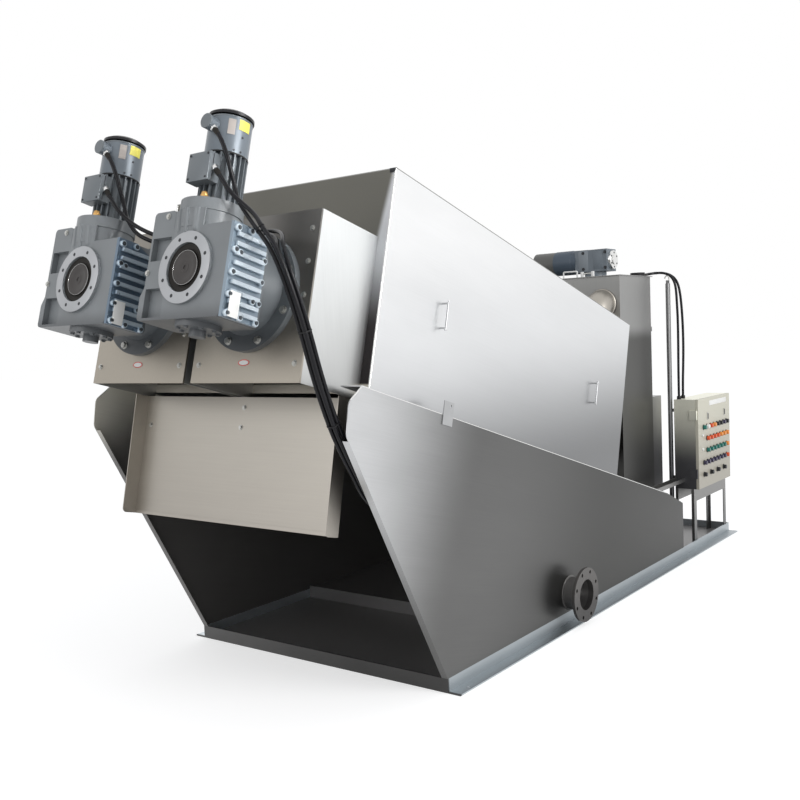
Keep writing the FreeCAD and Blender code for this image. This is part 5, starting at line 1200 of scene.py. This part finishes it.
def make_motor_details(name, side):
    """Rim, blank plates, small screws and glands of one motor."""
    axis = motor_frame(side)
    rim = lathe([(.0770, .4340), (.0798, .4340), (.0806, .4350), (.0806, .4392), (.0798, .4402),
                 (.0770, .4402)], axis, 72)
    lip = lathe([(.0700, .5690), (.0792, .5690), (.0798, .5700), (.0798, .5742), (.0788, .5752),
                 (.0700, .5752)], axis, 72)
    yellow = curved_plate(axis, COWL_RADIUS, (72, 106), (0.528, 0.566))
    beige = curved_plate(axis, COWL_RADIUS, (43, 62), (0.503, 0.560))
    add_piece(f"{name}_cowl_trim", [(rim, "black_plastic"), (lip, "motor_paint"),
                                    (yellow, "yellow_plate"), (beige, "beige_plate")])
    screws = []
    for turn, height in ((86, 0.503), (86, 0.449), (66, 0.449), (176, 0.449), (266, 0.449)):
        t = math.radians(turn)
        way = OUT * math.cos(t) + ACROSS * math.sin(t)
        screws.append((in_unit(side, 0, MOTOR_OUT, height) + way * 0.0778, way))
    fasten(f"{name}_cowl_screws", "cowl_screw", screws, "dark_bolt", "motor_paint")
    fan_gland = gland_shapes(in_unit(side, 0.0, TERMINAL_OUT, FAN_BOX_RISE), 0.0265, 0.0410)
    low_gland = gland_shapes(in_unit(side, 0.046, TERMINAL_OUT, 0.372), 0.0100, 0.0300)
    face = face_frame(side)
    lid = block((-0.055, 0.3105, 0.3440), (0.055, 0.4175, 0.3512), face, 0.004)
    seam = block((-0.0552, 0.3150, 0.3300), (0.0552, 0.4130, 0.3335), face, 0.001)
    cap = lathe([(0, .3420), (.0262, .3420), (.0275, .3432), (.0275, .3468), (.0258, .3485),
                 (0, .3488)], face_frame(side, 0, 0, FAN_BOX_RISE), 40)
    add_piece(f"{name}_terminal_trim",
              [(lid, "motor_paint"), (seam, "dark_bolt"), (cap, "motor_paint")]
              + fan_gland + low_gland)
    lid_screws = [(in_unit(side, x, 0.3508, z), OUT) for x in (-0.045, 0.045)
                  for z in (0.321, 0.407)]
    fasten(f"{name}_terminal_screws", "terminal_screw", lid_screws, "dark_bolt", "motor_paint")


# Sheet work

def make_sheet_work():
    """Bolts of the chute, edge beads of the panels and welds of the pipes."""
    lean = Vector((0, -0.976, 0.216))
    places = [(at, lean) for at in vectors(
        (-0.548, -1.7473, 1.1039), (0.548, -1.7473, 1.1039), (0.0194, -1.7467, 1.1062),
        (0.0289, -1.7290, 1.1865))]
    fasten("chute_bolts", "chute_bolt", places, "bolt_steel", "stainless")
    for side, name in SIDES:
        x = side * PANEL_OUTSIDE
        bead = round_bar([(x, y, z) for y, z in PANEL_EDGE], 0.0030)
        add_piece(f"{name}_panel_bead", [(bead, "bright_steel")])
        x = side * HOOD_OUTSIDE
        hem = round_bar([(x, *HOOD_CORNER), (x, *HOOD_FOOT)], 0.0042)
        fold = round_bar([(x, *HOOD_CORNER), (x, *HOOD_TAIL)], 0.0036)
        add_piece(f"{name}_hood_hem", [(hem, "bright_steel"), (fold, "bright_steel")])
    tab = block((0.612, -1.4525, 2.0890), (0.6405, -1.4450, 2.1060), None, 0.0012)
    add_piece("hood_front_tab", [(tab, "dark_bolt")])
    stub = framed(Vector(OUTLET_WELD), BACKWARD, UPWARD, ACROSS)
    weld = lathe([(.0790, -.001), (.0858, -.001), (.0850, .0022), (.0818, .0052),
                  (.0796, .0060)], stub, 72)
    shapes = [(weld, "flange_steel")]
    for x in (-FEED_PIPE_X, FEED_PIPE_X):
        mouth = framed(Vector((x, *FEED_PIPE_END)), ACROSS, UPWARD, FORWARD)
        shapes.append((lathe([(.0835, -.001), (.0900, -.001), (.0892, .0022), (.0862, .0052),
                              (.0838, .0060)], mouth, 72), "chute_sheet"))
    add_piece("pipe_welds", shapes)


# Mixer, tank and cabinet

def make_mixer_details():
    """Bands of the mixer motor, its flange and end cap."""
    y, z = MIXER_Y, MIXER_Z
    axis = framed(Vector((0, y, z)), BACKWARD, UPWARD, ACROSS)
    cowl = lathe([(.0600, -.0270), (.0745, -.0270), (.0768, -.0240), (.0772, -.0180),
                  (.0772, .0900), (.0760, .0960), (.0735, .0985), (.0735, .1060),
                  (.0748, .1080), (.0748, .1140), (.0730, .1160), (.0600, .1160)], axis, 72)
    tail = lathe([(0, -.1700), (.0500, -.1698), (.0640, -.1660), (.0700, -.1600),
                  (.0755, -.1500), (.0755, -.1440), (.0600, -.1440), (0, -.1440)], axis, 60)
    flange = block((0.148, y - 0.0705, z - 0.0705), (0.226, y + 0.0705, z + 0.0700), None, 0.012)
    ridge = block((0.252, y - 0.0700, z - 0.0560), (0.318, y + 0.0700, z + 0.0560), None, 0.006)
    end = lathe([(0, .3430), (.0560, .3430), (.0575, .3445), (.0575, .3640), (.0560, .3655),
                 (.0300, .3655), (.0290, .3700), (0, .3702)], axis, 48)
    add_piece("mixer_trim", [(cowl, "mixer_paint"), (tail, "mixer_paint"),
                             (flange, "mixer_flange"), (ridge, "mixer_casting"),
                             (end, "bright_steel")])
    spots = [(Vector((x, y - 0.0695, z + dz)), FORWARD) for x, dz in
             ((0.187, 0.050), (0.187, -0.050), (0.335, 0.048), (0.335, -0.048))]
    fasten("mixer_bolts", "mixer_bolt", spots, "dark_bolt", "mixer_paint")
    fasten("mixer_end_screws", "mixer_screw", circle_places(axis, 0.0440, 6, 0.3652, 30),
           "dark_bolt", "mixer_paint")


def make_lid_and_hook():
    """Handle and small hinge on the tank's lid, and the hook on top of the conduit."""
    y = 0.948
    left, right, foot, top = 0.128, 0.220, 1.762, 1.802
    grip = bent_bar([(left, y, foot), (left, y, 1.790), (left, y, top), (0.142, y, top),
                     (0.206, y, top), (right, y, top), (right, y, 1.790), (right, y, foot)],
                    0.0048)
    ears = [(block((x, y - 0.008, 1.7635), (x + 0.016, y + 0.008, 1.7960), None, 0.0015),
             "white_rope") for x in (0.246, 0.316)]
    pin = round_bar([(0.262, y, 1.784), (0.316, y, 1.784)], 0.0045)
    add_piece("lid_handle", [(grip, "white_rope"), *ears, (pin, "bolt_steel")])
    low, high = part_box("cable_conduit")
    x, y, top = (low[0] + high[0]) / 2, (low[1] + high[1]) / 2, high[2]
    hook = bent_bar([(x, y, top - 0.002), (x, y, top + 0.016), (x - 0.004, y, top + 0.030),
                     (x - 0.022, y, top + 0.030), (x - 0.028, y, top + 0.012)], 0.0040)
    add_piece("conduit_hook", [(hook, "bolt_steel")])


# Rows of the door: finish of each place from front to back, or None
BUTTON_ROWS = (
    ("button_green", "blank_plate", "button_red", "button_orange", "dark_bolt", "dark_bolt",
     "button_purple", "dark_bolt"),
    (None,) + ("button_red",) * 4 + ("button_orange",) * 3,
    (None,) + ("button_green",) * 6 + ("button_orange",),
    ("button_purple",) * 7 + ("button_red",),
    ("dark_bolt", None) * 4,
)
FIRST_BUTTON_Y = 1.6135
FIRST_BUTTON_Z = 0.784
BUTTON_STEP = 0.063
ROW_STEP = 0.0765


def make_door_fittings():
    """Blank label and the two locks on the cabinet door."""
    low, proud = DOOR_FACE - 0.001, DOOR_FACE + 0.003
    shapes = [(block((low, 1.731, 0.916), (DOOR_FACE + 0.0016, 2.060, 0.947), None, 0.0006),
               "blank_plate")]
    for y in (1.694, 2.021):
        shapes.append((block((low, y - 0.009, 0.826), (DOOR_FACE + 0.004, y + 0.009, 0.874),
                             None, 0.002), "bolt_steel"))
        shapes.append((block((proud, y - 0.0045, 0.832), (DOOR_FACE + 0.0065, y + 0.0045, 0.868),
                             None, 0.001), "dark_bolt"))
    add_piece("door_fittings", shapes, "door")


def make_buttons():
    """Rows of push buttons in their collars and two knobs, as one piece on the door."""
    rows = {}
    for j, row in enumerate(BUTTON_ROWS):
        for i, finish in enumerate(row):
            if finish:
                at = Vector((DOOR_FACE, FIRST_BUTTON_Y + BUTTON_STEP * i,
                             FIRST_BUTTON_Z - ROW_STEP * j))
                rows.setdefault(finish, []).append((at, ACROSS))
    everywhere = [place for places in rows.values() for place in places]
    sets = [("button_collars", "button_collar", everywhere, "dark_bolt")]
    for finish, places in sorted(rows.items()):
        heads = [(at + ACROSS * 0.0040, way) for at, way in places]
        sets.append((f"heads_{finish}", "button", heads, finish))
    knobs = [(Vector((DOOR_FACE, 1.590, z)), ACROSS) for z in (0.7350, 0.6430)]
    sets.append(("door_knobs", "door_knob", knobs, "blank_plate"))
    made = [fasten(*values, "button_plastic", "door", ride=False) for values in sets]
    buttons = add_object("control_buttons", joined_mesh("control_buttons", made))
    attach(buttons, "door")
    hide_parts("door_buttons")


def joined_mesh(name, pieces):
    """One mesh of several, each with its own material; the pieces are removed."""
    whole = bmesh.new()
    mesh = bpy.data.meshes.new(name)
    for index, piece in enumerate(pieces):
        part = bmesh.new()
        part.from_mesh(piece.data)
        for face in part.faces:
            face.material_index = index
        part.to_mesh(piece.data)
        part.free()
        whole.from_mesh(piece.data)
        mesh.materials.append(piece.data.materials[-1])
        bpy.data.objects.remove(piece)
    whole.to_mesh(mesh)
    whole.free()
    return mesh


bpy.context.scene.view_settings.view_transform = "Standard"
make_camera()
make_cables()
make_world()
make_floor()
make_lamp("key", (6.5, -0.6, 3.4), (0.3, -1.0, 1.3), (3, 3), 230)
make_lamp("fill", (-1.5, -7.5, 3.0), (0, -0.8, 1.2), (4, 3), 60)
make_lamp("drives", (3.4, -2.2, 2.5), (0, -2.12, 1.98), (0.5, 0.5), 1.0, math.radians(24))
finish_nodes()
for side, name in SIDES:
    make_shaft_end(name, side)
    make_adapter(name, side)
    make_gear_fittings(name, side)
    make_motor_details(name, side)
make_sheet_work()
make_mixer_details()
make_lid_and_hook()
make_door_fittings()
make_buttons()
